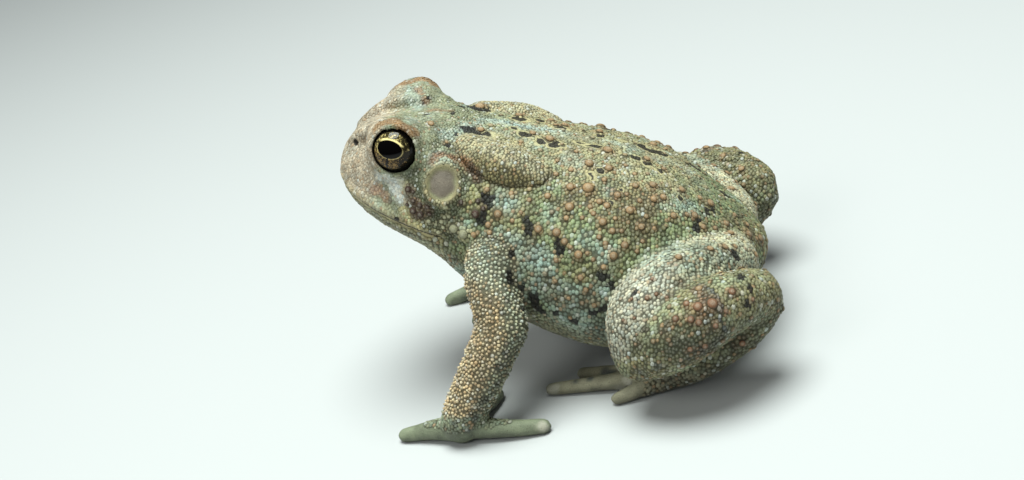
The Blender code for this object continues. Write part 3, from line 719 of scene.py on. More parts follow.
# Umber blotches of the flank, laid strong enough to stand also as painted shade among the warts of the upper
# flank.
paint = patched(paint, FLANK_UMBER_AND_SHADE, UMBER_AND_SHADE_PATCHES, 0.62)
paint = patched(paint, FLANK_BLUE, BLUE_PATCHES, 0.4)
for wash in (
    (BACK_GREEN, soft_step(above, 7.0, 10.0) * soft_step(mottle(body, 4.0, 8), 0.0, 0.6) * 0.7),
    (MIDLINE_BLUE, soft_step(above, 7.0, 10.0) * soft_step(mottle(body, 2.2, 15), 0.3, 0.9) * 0.45),
    (BELLY_CREAM, soft_step(-above + 2.0 * coarse, 11.0, 18.0) * part_mask["torso"]),
    (ARM_TAN, on_arms),
    (ARM_INNER, on_arms * soft_step(outward[:, 0] + 0.3 * medium, 0.0, 0.6) * 0.85),
):
    paint = laid(paint, *wash)
paint = patched(paint, ARM_PALE, ((478, 260, 3.2), (488, 268, 3.0), (494, 282, 2.4), (470, 270, 2.0)), 0.75)
for wash in (
    (FAR_TAN, part_mask["thigh"]),
    (KNEE_GREY, part_mask["thigh"] * (1 - soft_step(along + medium, 58.0, 62.0))),
    (SHANK_OLIVE, part_mask["shank"]),
    (SHANK_GREEN, part_mask["shank"] * soft_step(mottle(body, 3.2, 16), 0.0, 0.6) * 0.8),
    (HEEL_OLIVE, part_mask["foot"]),
    (TOE_GREY, part_mask["foot"] * soft_step(-skin_co[:, 2], -6.5 * MM, -3.5 * MM)),
    (FINGER_GREY, part_mask["hand"]),
    (GROIN_GREEN, armpit * 0.9),
):
    paint = laid(paint, *wash)
paint = patched(paint, GROIN_GREEN, GROIN_PATCHES, 0.5)
midline = np.exp(-((across - 0.2 - 0.4 * medium) / 1.2) ** 2) * soft_step(along, 15.0, 19.0)
midline = midline * (1 - 0.8 * soft_step(along, 32.0, 42.0))
paint = laid(paint, MIDLINE_BLUE, midline * soft_step(above, 8.0, 10.5) * 0.9)
print("mean ground colour:", np.round(paint.mean(0), 2))

# %% Patches seen on this animal
BROW_LINE = (
    (377, 127), (380, 123.5), (384, 121), (389, 120), (395, 121), (401, 123), (406, 126), (411, 129),
    (414, 131.5),
)
RIDGE_LINE = ((431, 162), (436, 158), (441, 156), (446, 156.5), (451, 158), (455, 160))
CROWN_LINE = ((428, 111), (433, 110), (439, 110), (446, 110.5), (452, 111))


for wash in (
    (CROWN_GREEN, part_mask["head"]),
    (CROWN_BLUE, part_mask["head"] * soft_step(mottle(body, 3.0, 17), 0.0, 0.7) * 0.7),
    (SNOUT_PINK, part_mask["head"] * (1 - soft_step(along + 1.2 * medium, 6.0, 9.5))),
    (
        SNOUT_BROWN,
        part_mask["head"] * (1 - soft_step(along, 7.0, 10.0))
        * soft_step(mottle(body, 1.4, 18), 0.0, 0.8) * 0.55,
    ),
    # The cheek's own grey-olive, made darker than it is as painted shade on this side of the head.
    (CHEEK_GREY_AND_SHADE, part_mask["head"] * soft_step(along, 11.0, 14.0) * (1 - soft_step(above, 6.0, 9.0))),
    (BELLY_CREAM, part_mask["lower_jaw"] * soft_step(-outward[:, 2], 0.2, 0.8)),
    (LIP_YELLOW, on_mouth * np.exp(-((mouth_gap - 0.1) / 1.1) ** 2) * 0.85),
    (DARK_BROWN, on_mouth * np.exp(-((mouth_gap + 1.5) / 0.35) ** 2) * 0.6 * soft_step(along, 3.0, 8.0)),
    (GLAND_TAN, part_mask["parotoid"]),
    # Painted shade: the gland's sides and underside, which face away from the light above, are darkened.
    (
        GLAND_SIDE_SHADE,
        part_mask["parotoid"] * 0.85
        * soft_step(np.abs(outward[:, 1]) - 0.6 * outward[:, 2] + 0.3 * medium, 0.1, 0.7),
    ),
    # Painted shade in the groove under the gland.
    (GROOVE_SHADE, gland_low * 0.8),
):
    paint = laid(paint, *wash)
for patch in (
    (BROW_RUST, spread_band(BROW_LINE, 1.2), 0.82, 0.45),
    (RIDGE_BROWN, spread_band(RIDGE_LINE, 0.75), 0.5),
    (RIDGE_BROWN, spread_band(CROWN_LINE, 0.6), 0.3),
    (RIDGE_BROWN, ((419, 90, 0.9), (422, 94, 0.9), (425, 100, 0.9), (431, 124, 0.7)), 0.8),
    (RIDGE_BROWN, ((463, 160, 1.0), (467, 163, 1.1), (470, 168, 1.2)), 0.75),
    # Painted shade: a dark brown patch stands for the shade in a pit in front of the gland, which the shape
    # doesn't have.
    (PIT_SHADE_BROWN, ((473, 170, 1.0), (476, 175, 1.2), (478, 179, 0.9)), 0.9),
    (CHEEK_WHITE, (
        (394, 183, 1.5), (398, 188, 1.7), (400, 194, 1.6),
        (403, 199, 1.1), (387, 178, 1.4), (380, 175, 1.2),
    ), 0.88),
    (CHEEK_CREAM, (
        (404, 183, 0.9), (404, 190, 0.8), (409, 200, 1.0),
        (412, 218, 1.2), (405, 210, 1.2), (420, 225, 1.0),
    ), 0.6),
    (LIP_PINK, ((380, 192, 1.2), (386, 197, 1.2), (373, 189, 1.0)), 0.55),
    (SLATE, ((390, 198, 0.45), (391, 202, 0.4), (378, 182, 0.25), (374, 175, 0.25)), 0.7),
    (DARK_BROWN, (
        (409, 190, 1.0), (410, 199, 1.0), (415, 205, 1.5),
        (421, 210, 1.6), (428, 208, 1.1), (416, 213, 1.2),
    ), 0.92),
):
    paint = patched(paint, *patch)
paint = laid(paint, EAR_GREY, 1 - soft_step(ear_gap + 0.3 * small, 1.9, 2.5))
paint = laid(paint, EAR_RIM, np.exp(-((ear_gap - EAR_RING + 0.15) / 0.5) ** 2) * 0.8)
print("head painted")

# %% Limbs: bands, blotches, pale tips and painted shade
BAND_EDGE = ((694, 289), (701, 284), (711, 290), (718, 298), (721, 308), (720, 320), (726, 331))
ARM_DARK = (
    (483, 401, 1.3), (497, 385, 0.8), (498, 368, 1.0), (505, 352, 0.6), (509, 302, 0.6), (490, 412, 0.9),
    (475, 418, 0.8), (502, 312, 0.7), (468, 430, 0.9), (455, 424, 0.7),
)
LEG_DARK = (
    (697, 290, 1.2), (705, 296, 1.2), (702, 305, 1.2), (711, 312, 1.1), (718, 305, 0.9), (714, 322, 0.9),
    (706, 332, 0.8), (663, 332, 1.1), (666, 322, 0.8), (683, 286, 0.9), (680, 281, 0.7), (672, 295, 0.5),
    (734, 345, 0.8), (722, 340, 0.7), (700, 352, 0.9), (752, 318, 0.6), (745, 335, 0.6), (640, 345, 0.8),
    (625, 338, 0.5), (645, 331, 0.5),
)
# Painted shade: the lower half of the shank, turned away from the light above, is darkened by these patches.
SHANK_LOWER_SHADE = (
    (640, 350, 2.4), (655, 344, 2.8), (672, 338, 2.8), (690, 335, 2.8), (708, 334, 2.4), (722, 332, 2.4),
    (735, 338, 2.0), (690, 350, 2.4), (715, 345, 2.4), (740, 350, 2.0), (670, 352, 2.4), (752, 330, 1.6),
)
TOE_DARK = (
    (606, 374, 1.2), (612, 373, 0.9), (590, 379, 0.7), (576, 381, 0.5), (640, 372, 0.8), (655, 366, 0.9),
    (630, 383, 0.6),
)
TOE_LIGHT = ((552, 392, 1.2), (621, 389, 1.2), (627, 381, 0.9), (543, 427, 1.0), (556, 386, 0.7))

for patch in (
    (SLATE, ARM_DARK, 0.7),
    # painted shade on the lower shank
    (SHANK_SHADE_OLIVE, SHANK_LOWER_SHADE, 0.75),
    (DARK_BROWN, LEG_DARK, 0.7),
    (SLATE, spread_band(BAND_EDGE, 0.42), 0.85, 0.5),
    (SLATE, TOE_DARK, 0.8),
    (TOE_PALE, TOE_LIGHT, 0.8),
):
    paint = patched(paint, *patch)
for kind, colour in WART_COLOUR.items():
    for *place, radius in wart_groups[kind]:
        paint = laid(paint, colour, near(place, radius * 1.35) * 0.6)
paint = laid(paint, WART_TAN, soft_step(warty, 0.2, 0.7) * 0.3)
# Painted shade in the valleys of the groin's pleats.
paint *= (1 - 0.3 * groin * (pleats < -0.1))[:, None]
# Painted shade: the undersides, low on the body and facing the floor, are darkened as if in shadow. The noise
# terms are the skin's own mottling.
painted_underside_shade = soft_step(-skin_no[:, 2], -0.45, 0.5) * soft_step(-skin_co[:, 2], -36 * MM, -18 * MM)
paint = np.clip(paint * (1 + 0.26 * small + 0.17 * medium - 0.42 * painted_underside_shade)[:, None], 0.01, 0.9)
print("mean colour:", np.round(paint.mean(0), 2))

# %% [markdown]
# The black marks of the back have edges far crisper than the squares of the skin. So each point keeps its
# distance to the nearest edge of black, which changes smoothly, and the finish draws the edge where the
# distance is nought, with a thin cream line outside it. The nostrils and the bottom of the mouth's crease
# are drawn in the same black, as painted shade in these hollows. The large marks of the back are ovals
# given by their place in the body, as millimetres behind the snout and to the right, and half their length
# and width. The small ones are given by pixel.

# %% Distance to the black marks and the painted shade of the hollows
BACK_MARKS = (
    (21.5, 5.1, 2.3, 1.5), (19.0, 3.5, 0.8, 0.5), (22.3, -4.8, 2.7, 0.8), (29.2, 3.6, 1.6, 1.3),
    (28.6, -1.3, 0.8, 0.45), (32.8, 4.6, 0.8, 0.9), (36.3, 2.4, 1.2, 0.6), (31.4, -2.9, 1.2, 0.8),
    (33.9, -4.3, 1.1, 0.9), (36.2, -4.4, 1.3, 0.9), (39.9, -2.2, 0.7, 0.3), (43.1, -2.5, 1.3, 0.4),
    (43.5, 2.3, 0.8, 0.8), (47.1, 2.5, 0.5, 0.3), (44.6, 9.8, 1.4, 1.1), (61.0, 5.0, 1.4, 0.9),
    (67.0, 1.6, 1.0, 0.7), (37.5, 9.0, 1.3, 0.9),
)
SMALL_MARKS = (
    (634, 157, 0.5), (638, 158, 0.4), (647, 164, 0.7), (656, 169, 0.5), (660, 171, 0.4), (642, 146, 0.7),
    (646, 149, 0.6), (650, 151, 0.6), (656, 152, 0.6), (661, 152, 0.7), (665, 155, 0.7), (620, 153, 0.25),
    (591, 174, 0.55), (593, 178, 0.4), (600, 171, 0.5), (488, 197, 0.8), (487, 204, 0.7), (482, 215, 0.7),
    (481, 222, 0.8), (528, 223, 0.75), (527, 230, 0.7), (531, 227, 0.5), (557, 245, 0.8), (561, 250, 0.8),
    (558, 239, 0.5), (511, 255, 0.5), (534, 298, 1.0), (537, 306, 0.8), (540, 311, 0.6), (522, 287, 0.5),
    (556, 313, 0.6), (573, 320, 0.8), (592, 313, 0.9), (604, 308, 0.5), (602, 276, 0.8), (611, 287, 0.7),
    (509, 275, 0.6), (511, 281, 0.5), (524, 313, 0.5), (635, 293, 0.5), (637, 297, 0.4), (696, 227, 0.7),
    (699, 223, 0.5), (734, 254, 0.8), (738, 258, 0.6), (718, 213, 0.45), (712, 210, 0.5), (707, 211, 0.4),
    (681, 198, 0.45), (749, 288, 0.55), (748, 303, 0.5), (741, 277, 0.5), (569, 211, 0.4),
    (611, 204, 0.35), (622, 189, 0.3), (635, 318, 0.3), (427, 115, 0.25), (424, 115, 0.2), (445, 113, 0.2),
    (452, 114, 0.2), (437, 102, 0.15), (415, 91, 0.1), (417, 97, 0.15), (428, 98, 0.1), (421, 103, 0.15),
    (388, 114, 0.2), (456, 135, 0.35), (452, 114, 0.3), (378, 115, 0.2), (396, 218, 0.35), (412, 147, 0.2),
    (447, 146, 0.25),
)

bend = 0.45 * small + 0.2 * mottle(body, 0.6, 5)
mark_and_shade_distance = np.full(len(body), 3.0)
for s, y, half_long, half_wide in BACK_MARKS:
    oval = np.hypot((along - s) / half_long, (across - y) / half_wide)
    reach = (oval - 1) * min(half_long, half_wide) + np.where(above > 6, 0.0, 3.0)
    mark_and_shade_distance = np.minimum(mark_and_shade_distance, reach)
for *place, radius in placed(SMALL_MARKS):
    mark_and_shade_distance = np.minimum(mark_and_shade_distance, np.linalg.norm(body - place, axis=1) - 1.15 * radius)
mark_and_shade_distance += bend
# Painted shade: the nostrils and the mouth's crease are drawn black, as shade in these hollows.
mark_and_shade_distance = np.minimum(mark_and_shade_distance, nostril_gap - 0.6)
mark_and_shade_distance = np.where(on_mouth > 0.3, np.minimum(mark_and_shade_distance, np.abs(mouth_gap) - 0.16), mark_and_shade_distance)
wart_shield = soft_step(warty, 0.35, 0.6)
mark_and_shade_distance = mark_and_shade_distance + 1.5 * wart_shield
outlined = soft_step(above, 6.0, 9.0) * part_mask["torso"]
print("black points:", int((mark_and_shade_distance < 0).sum()))

# %% Store the markings on the skin
def store(mesh, name, kind, values):
    layer = mesh.attributes.new(name, kind, "POINT")
    if kind == "FLOAT_COLOR":
        values = np.concatenate((values, np.ones((len(values), 1))), axis=1)
        layer.data.foreach_set("color", values.astype(np.float32).ravel())
    else:
        layer.data.foreach_set("value", values.astype(np.float32))


store(skin.data, "paint", "FLOAT_COLOR", paint)
store(skin.data, "mark_and_shade", "FLOAT", mark_and_shade_distance)
store(skin.data, "outlined", "FLOAT", outlined)
print("attributes:", [a.name for a in skin.data.attributes if not a.name.startswith(".")])

# %% [markdown]
# Thousands of grains cover the skin. One small closed dome is turned on a lathe, and copies of it, each
# scaled, turned and set on its seed, are written into one long list of points. A map called OFBake keeps
# each copy's colours in a small patch at the place of its root on an unwrapped coarse copy of the skin.

# %% One dome, turned on a lathe
def dome(sides, outline):
    """A closed dome: outline runs from the top at the axis down to the foot, as radius and height."""
    bm = bmesh.new()
    points = [bm.verts.new((radius, 0.0, height)) for radius, height in outline]
    for upper, lower in zip(points, points[1:]):
        bm.edges.new((upper, lower))
    bmesh.ops.spin(
        bm, geom=bm.verts[:] + bm.edges[:], cent=(0, 0, 0), axis=(0, 0, 1),
        angle=math.tau, steps=sides, use_merge=True, dvec=(0, 0, 0),
    )
    bmesh.ops.remove_doubles(bm, verts=bm.verts, dist=1e-4)
    rim = [edge for edge in bm.edges if edge.is_boundary]
    bmesh.ops.holes_fill(bm, edges=rim, sides=0)
    bmesh.ops.recalc_face_normals(bm, faces=bm.faces)
    bmesh.ops.triangulate(bm, faces=bm.faces)
    bm.verts.index_update()
    places = np.array([v.co[:] for v in bm.verts])
    faces = np.array([[v.index for v in f.verts] for f in bm.faces])
    bm.free()
    return places, faces


GRAIN_DOME = dome(6, ((0.0, 0.62), (0.62, 0.42), (1.0, -0.3)))
POINT_DOME = dome(6, ((0.0, 1.0), (0.45, 0.55), (1.0, -0.3)))
WART_DOME = dome(12, ((0.0, 0.72), (0.38, 0.66), (0.74, 0.4), (1.0, -0.05), (1.05, -0.4)))
print("triangles:", len(GRAIN_DOME[1]), len(POINT_DOME[1]), len(WART_DOME[1]))

# %% A coarse unwrap for the grains' colours
chart_source = bpy.data.objects.new("chart", skin.data.copy())
bpy.context.scene.collection.objects.link(chart_source)
thin = chart_source.modifiers.new("thin", "DECIMATE")
thin.ratio = 0.04
chart_mesh = bpy.data.meshes.new_from_object(
    chart_source.evaluated_get(bpy.context.evaluated_depsgraph_get())
)
bpy.data.objects.remove(chart_source)
chart = bpy.data.objects.new("chart", chart_mesh)
bpy.context.scene.collection.objects.link(chart)
bpy.context.view_layer.objects.active = chart
chart.select_set(True)
bpy.ops.object.mode_set(mode="EDIT")
bpy.ops.mesh.select_all(action="SELECT")
bpy.ops.uv.smart_project(angle_limit=math.radians(66), island_margin=0.004)
bpy.ops.object.mode_set(mode="OBJECT")
chart_mesh = chart.data
chart_tree = BVHTree.FromPolygons(
    [v.co for v in chart_mesh.vertices], [tuple(p.vertices) for p in chart_mesh.polygons]
)
chart_uv = read_vectors(chart_mesh.uv_layers.active.uv, "vector", 2)


def chart_places(points):
    """Where points of the skin lie on the unwrapped coarse copy."""
    found = []
    for point in points:
        hit, _, face, _ = chart_tree.find_nearest(Vector(point))
        polygon = chart_mesh.polygons[face]
        corners = [chart_mesh.vertices[i].co for i in polygon.vertices][:3]
        flat = [Vector((*chart_uv[i], 0.0)) for i in polygon.loop_indices][:3]
        found.append(barycentric_transform(hit, *corners, *flat)[:2])
    return np.array(found)


print("chart faces:", len(chart_mesh.polygons))

# %% Set copies of a dome on their seeds
PATCH = 0.003


def set_on_skin(name, shape, seeds, width, height, colour, rust, foot, lie=None, length=None):
    """One joined piece of domes, each with its foot in the skin and its colours from its seed."""
    rng = np.random.default_rng(len(seeds))
    points, faces = shape
    roots = seeds.carry(skin_co)
    normal = seeds.carry(skin_no)
    normal /= np.linalg.norm(normal, axis=1)[:, None]
    guide = rng.normal(size=normal.shape) if lie is None else lie
    side = np.cross(normal, guide)
    side /= np.maximum(np.linalg.norm(side, axis=1), 1e-9)[:, None]
    forward = np.cross(side, normal)
    length = width if length is None else length
    spots = (
        roots[:, None]
        + MM * width[:, None, None] * points[None, :, 0, None] * side[:, None]
        + MM * length[:, None, None] * points[None, :, 1, None] * forward[:, None]
        + MM * height[:, None, None] * points[None, :, 2, None] * normal[:, None]
    ).reshape(-1, 3)
    spots = np.clip(spots, np.array(cad_low), np.array(cad_high))
    corners = (faces[None] + len(points) * np.arange(len(seeds))[:, None, None]).reshape(-1, 3)
    mesh = bpy.data.meshes.new(name)
    mesh.vertices.add(len(spots))
    mesh.vertices.foreach_set("co", spots.astype(np.float32).ravel())
    mesh.loops.add(corners.size)
    mesh.loops.foreach_set("vertex_index", corners.astype(np.int32).ravel())
    mesh.polygons.add(len(corners))
    mesh.polygons.foreach_set("loop_start", np.arange(0, corners.size, 3, dtype=np.int32))
    mesh.polygons.foreach_set("use_smooth", np.ones(len(corners), bool))
    mesh.update(calc_edges=True)
    repeat = len(points)
    top = points[:, 2].max()
    tip = np.clip(points[:, 2] / top, 0, 1)
    store(mesh, "paint", "FLOAT_COLOR", np.repeat(colour, repeat, axis=0))
    store(mesh, "mark_and_shade", "FLOAT", np.repeat(seeds.carry(mark_and_shade_distance), repeat))
    store(mesh, "outlined", "FLOAT", np.repeat(seeds.carry(outlined), repeat))
    # tip runs from a dome's foot to its top; the finish paints shade where it is low and highlights where it
    # is high.
    store(mesh, "tip", "FLOAT", (foot[:, None] + (1 - foot[:, None]) * tip).ravel())
    store(mesh, "rust", "FLOAT", np.outer(rust, soft_step(tip, 0.2, 0.95)).ravel())
    root_uv = chart_places(roots)
    spread = np.tile(points[:, :2] * PATCH / 2, (len(seeds), 1)) + np.repeat(root_uv, repeat, axis=0)
    layer = mesh.uv_layers.new(name="OFBake")
    layer.uv.foreach_set("vector", np.clip(spread[corners.ravel()], 0, 1).astype(np.float32).ravel())
    piece = bpy.data.objects.new(name, mesh)
    bpy.context.scene.collection.objects.link(piece)
    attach(piece, "root")
    print(name, len(seeds), "domes,", len(corners), "triangles")
    return piece


# %% [markdown]
# The caps of the warts come first, because the fine grains keep clear of them. A cap is rusty on top, often
# with a darker point, and its foot is darkened with the same painted shade as the grains round it.

# %% The warts' caps
coat = []
wart_home = np.array([skin_places.find(Vector(place))[1] for place in wart_place])
home_quad = {}
for q, quad in enumerate(skin_quads):
    for k, v in enumerate(quad):
        home_quad.setdefault(int(v), (q, k))
corner_u = np.array((0.0, 1.0, 1.0, 0.0))
corner_v = np.array((0.0, 0.0, 1.0, 1.0))
wart_quad = np.array([home_quad[int(v)] for v in wart_home])
wart_seed = Seeds(wart_quad[:, 0], corner_u[wart_quad[:, 1]], corner_v[wart_quad[:, 1]])
rng = np.random.default_rng(21)
redness = rng.random(len(wart_seed)) ** 1.5
redness = np.clip(redness + 0.6 * (wart_seed.carry(part_mask["shank"]) > 0.5), 0, 1)
cap_colour = laid(wart_seed.carry(paint), WART_RED, 0.35 * redness)
cap_colour = cap_colour * (0.8 + 0.3 * rng.random((len(wart_seed), 1)))
cap_rust = 0.1 + 0.4 * rng.random(len(wart_seed))
first = 0
for kind, rows in wart_groups.items():
    kin = slice(first, first + len(rows))
    cap_colour[kin] = WART_COLOUR[kind] * (0.75 + 0.4 * rng.random((len(rows), 1)))
    cap_rust[kin] = WART_RUST[kind] * rng.random(len(rows))
    first += len(rows)
wart_height = wart_radius * (0.34 + 0.2 * rng.random(len(wart_seed)))
coat.append(set_on_skin(
    "warts", WART_DOME, wart_seed, wart_radius * 0.8, wart_height, cap_colour, cap_rust,
    np.full(len(wart_seed), 0.12),
))

# %% [markdown]
# Grains differ from place to place: cobbles in upright rows on the flanks, small grains on the back and
# glands, pointed tubercles with rusty tips on the arms, and almost none on lids, drum, fingers and toes.

# %% How close the grains stand
WRIST_HEIGHT = 3.2 * MM

spacing = np.zeros(len(body))
for chosen, apart in (
    (part_mask["torso"], 0.49 - 0.09 * soft_step(above, 6.0, 10.0) + 0.05 * soft_step(-above, 8.0, 16.0)),
    (part_mask["parotoid"], 0.36),
    (part_mask["head"], 0.36),
    (part_mask["lower_jaw"], 0.42 + 0.14 * soft_step(along, 10.0, 18.0)),
    (on_arms, 0.46),
    (part_mask["thigh"], 0.4),
    (part_mask["shank"], 0.46),
    (part_mask["foot"] * (along > 60), 0.5),
    (part_mask["hand"] * (skin_co[:, 2] > WRIST_HEIGHT), 0.42),
):
    spacing = np.where(chosen > 0.5, apart, spacing)
for sign in (-1, 1):
    eye_gap = np.linalg.norm(body - EYE_PLACE * (1, sign, 1), axis=1)
    spacing = np.where(eye_gap < 5.0, 0.3, spacing)
    spacing = np.where((eye_gap < 4.65) | (ear_gap < 2.4), 0.0, spacing)
spacing = np.where(np.maximum(groin, armpit) > 0.4, 0.42, spacing)
spacing = np.where((crease > 0.3) | (nostril_gap < 0.6) | (skin_co[:, 2] < 0.7 * MM), 0.0, spacing)
for place, radius in zip(wart_place, wart_radius):
    for _, i, gap in skin_places.find_range(Vector(place), radius * 0.72):
        spacing[i] = 0.0
spacing = np.where((np.abs(mark_and_shade_distance - 0.1) < 0.2) & (outlined > 0.5), 0.0, spacing)
bare = softened((spacing == 0).astype(float), 3) * (1 - soft_step(warty, 0.1, 0.3))
smooth_head = part_mask["head"] * (1 - soft_step(along, 15.0, 19.0))
# The skin's tip level steers the painted shade: dark in the gaps between grains, lighter on bare skin and the
# smooth head.
store(skin.data, "tip", "FLOAT", np.clip(0.08 + 0.6 * bare + 0.3 * smooth_head, 0, 0.7))
store(skin.data, "rust", "FLOAT", np.zeros(len(body)))
print("bare points:", int((spacing == 0).sum()))

# %% Sow and raise the grains
ROW_STRETCH = np.array((1.0, 1.0, 0.8))
ROW_PITCH = 0.62
ROW_SHARE = 0.55


def in_rows(places):
    """Which places lie in the upright rows that the grains of the flanks keep."""
    row = (places[:, 0] + 0.3 * places[:, 2]) / ROW_PITCH + 1.1 * mottle(places, 4.0, 9)
    off_row = 2 * np.abs(row - np.floor(row) - 0.5)
    on_flank = (np.abs(places[:, 1]) > 10) & (places[:, 0] > 25) & (places[:, 0] < 66) & (places[:, 2] > -14)
    return (off_row < ROW_SHARE) | ~on_flank


grain_seeds = sown(spacing, seed=31, tries=8.0, stretch=ROW_STRETCH, allowed=in_rows)
count = len(grain_seeds)
grain_spacing = grain_seeds.carry(spacing)
rng = np.random.default_rng(32)
shade = 0.72 + 0.62 * rng.random(count) ** 1.3
grain_colour = grain_seeds.carry(paint) * shade[:, None]
on_arm = grain_seeds.carry(on_arms) > 0.5
rusty = (rng.random(count) < np.where(on_arm, 0.35, 0.08)) * (0.3 + 0.7 * rng.random(count))
pale = (rng.random(count) < np.where(on_arm, 0.3, 0.1)) * 0.6 * rng.random(count)
grain_colour = laid(grain_colour, CHEEK_WHITE, pale)
grain_colour = grain_colour * (1 + 0.16 * (rng.random((count, 1)) - 0.5) * (1, 0, -1))
width = grain_spacing * (0.74 + 0.36 * rng.random(count))
smooth_grain = grain_seeds.carry(smooth_head)
height = width * np.where(on_arm, 0.85, 0.5) * (0.55 + 0.8 * rng.random(count)) * (1 - 0.55 * smooth_grain)
# foot raises the lowest tip level, so less painted shade falls at the feet of grains on the smooth head and
# the shank.
foot = 0.5 * smooth_grain + 0.12 * grain_seeds.carry(part_mask["shank"])
print("grains:", count)

# %% Grains as pieces
GRAINS_A_PIECE = 8800
round_grains = np.flatnonzero(~on_arm)
for k, start in enumerate(range(0, len(round_grains), GRAINS_A_PIECE)):
    some = round_grains[start:start + GRAINS_A_PIECE]
    coat.append(set_on_skin(
        f"grains_{k + 1}", GRAIN_DOME, grain_seeds.pick(some), width[some], height[some], grain_colour[some],
        rusty[some], foot[some], lie=np.tile(UPWARD, (len(some), 1)), length=width[some] * 1.2,
    ))
arm_grains = np.flatnonzero(on_arm)
coat.append(set_on_skin(
    "arm_tubercles", POINT_DOME, grain_seeds.pick(arm_grains), width[arm_grains], height[arm_grains],
    grain_colour[arm_grains], rusty[arm_grains], foot[arm_grains],
))
bpy.data.objects.remove(chart)

# %% [markdown]
# A toad's eyeball is a firm wet sphere that fills its socket, and the lids lie on it. It is one round piece
# on each side, so its shape is a plain sphere of the real size, with its pole turned the way the toad looks.
# All that makes it an eye is in the finish, which comes later.

# %% The two eyeballs
EYE_LOOK = np.array((-0.12, -0.96, 0.2))
EYE_SINK = 0.12 * MM


def sphere_piece(name, centre, radius, axis):
    bm = bmesh.new()
    bmesh.ops.create_uvsphere(bm, u_segments=64, v_segments=40, radius=radius)
    turn = Vector((0, 0, 1)).rotation_difference(Vector(axis)).to_matrix()
    bmesh.ops.rotate(bm, verts=bm.verts, cent=(0, 0, 0), matrix=turn)
    bmesh.ops.translate(bm, verts=bm.verts, vec=Vector(centre))
    for face in bm.faces:
        face.smooth = True
    mesh = bpy.data.meshes.new(name)
    bm.to_mesh(mesh)
    bm.free()
    piece = bpy.data.objects.new(name, mesh)
    bpy.context.scene.collection.objects.link(piece)
    return piece


eyes = {}
eye_look = {}
for side, sign in (("left", 1.0), ("right", -1.0)):
    low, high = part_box("eye_" + side)
    radius = max(high - low) / 2 - EYE_SINK
    look = (EYE_LOOK * (1, sign, 1)) @ BODY_AXES
    eye_look[side] = look / np.linalg.norm(look)
    eyes[side] = sphere_piece("eyeball_" + side, node_middle("eye_" + side), radius, eye_look[side])
    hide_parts("eye_" + side)
    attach(eyes[side], "root")
    print("eye", side, "radius in mm:", round(radius / MM, 2))

# %% [markdown]
# The skin has been worked at the fineness that sowing and painting need. Most of it now lies under grains,
# so it is thinned to keep the piece light; the thinning carries the stored markings along. It also moves
# points a little, so those that it pushed under the floor are brought back up to it.

# %% The skin takes its solids' place
SKIN_TRIANGLES = 185000

ease = skin.modifiers.new("ease", "DECIMATE")
ease.ratio = SKIN_TRIANGLES / (2 * len(skin_quads))
eased = bpy.data.meshes.new_from_object(skin.evaluated_get(bpy.context.evaluated_depsgraph_get()))
skin.modifiers.remove(ease)
sunk = [vertex for vertex in eased.vertices if vertex.co.z < 0]
for vertex in sunk:
    vertex.co.z = 0.0
print("points brought up to the floor:", len(sunk))
skin.data = eased
print("eased skin:", len(eased.polygons), "faces")
skin.data.polygons.foreach_set("use_smooth", np.ones(len(skin.data.polygons), bool))
skin.data.name = "toad_skin"
skin.data.update()
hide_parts(*flesh_nodes)
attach(skin, "root")


# %% [markdown]
# A finish is a small network of nodes. Writing it as sums and products of sockets keeps it readable: this
# class wraps one output, and every operator on it adds the Math node that does the work.

# %% Writing finishes as expressions
class Flow:
    """One output of a node, which can be used in sums and products."""

    def __init__(self, finish, socket):
        self.finish, self.socket = finish, socket

    def _math(self, operation, first, second):
        return self.finish.node("ShaderNodeMath", {"operation": operation}, {0: first, 1: second})

    def __add__(self, other):
        return self._math("ADD", self, other)

    def __radd__(self, other):
        return self._math("ADD", other, self)

    def __sub__(self, other):
        return self._math("SUBTRACT", self, other)

    def __rsub__(self, other):
        return self._math("SUBTRACT", other, self)

    def __mul__(self, other):
        return self._math("MULTIPLY", self, other)

    def __rmul__(self, other):
        return self._math("MULTIPLY", other, self)

    def __truediv__(self, other):
        return self._math("DIVIDE", self, other)


class Finish:
    """A material and short ways to add nodes to it."""

    def __init__(self, name):
        self.material = bpy.data.materials.new(name)
        self.material.use_nodes = True
        self.tree = self.material.node_tree
        self.shader = self.tree.nodes["Principled BSDF"]
        self.place = self.node("ShaderNodeTexCoord", output="Object")

    def node(self, kind, settings=None, sockets=None, output=0):
        made = self.tree.nodes.new(kind)
        for field, value in (settings or {}).items():
            setattr(made, field, value)
        for key, value in (sockets or {}).items():
            self.plug(self.find(made.inputs, key), value)
        return Flow(self, self.find(made.outputs, output))

    @staticmethod
    def find(sockets, key):
        if isinstance(key, int):
            return sockets[key]
        return next(s for s in sockets if s.identifier == key or (s.name == key and s.enabled))

    def plug(self, socket, value):
        if isinstance(value, Flow):
            self.tree.links.new(value.socket, socket)
        else:
            socket.default_value = value

    def mix(self, factor, first, second, blend="MIX"):
        return self.node(
            "ShaderNodeMix", {"data_type": "RGBA", "blend_type": blend},
            {"Factor_Float": factor, "A_Color": first, "B_Color": second}, "Result_Color",
        )

    def step(self, value, low, high, out_low=0.0, out_high=1.0):
        return self.node(
            "ShaderNodeMapRange", {"interpolation_type": "SMOOTHSTEP"},
            {"Value": value, "From Min": low, "From Max": high, "To Min": out_low, "To Max": out_high},
        )

    def noise(self, scale, detail=2.0, roughness=0.5):
        return self.node(
            "ShaderNodeTexNoise", None,
            {"Vector": self.place, "Scale": scale, "Detail": detail, "Roughness": roughness},
        )

    def attribute(self, name, output="Fac"):
        return self.node("ShaderNodeAttribute", {"attribute_name": name}, None, output)


print("finish helpers ready")

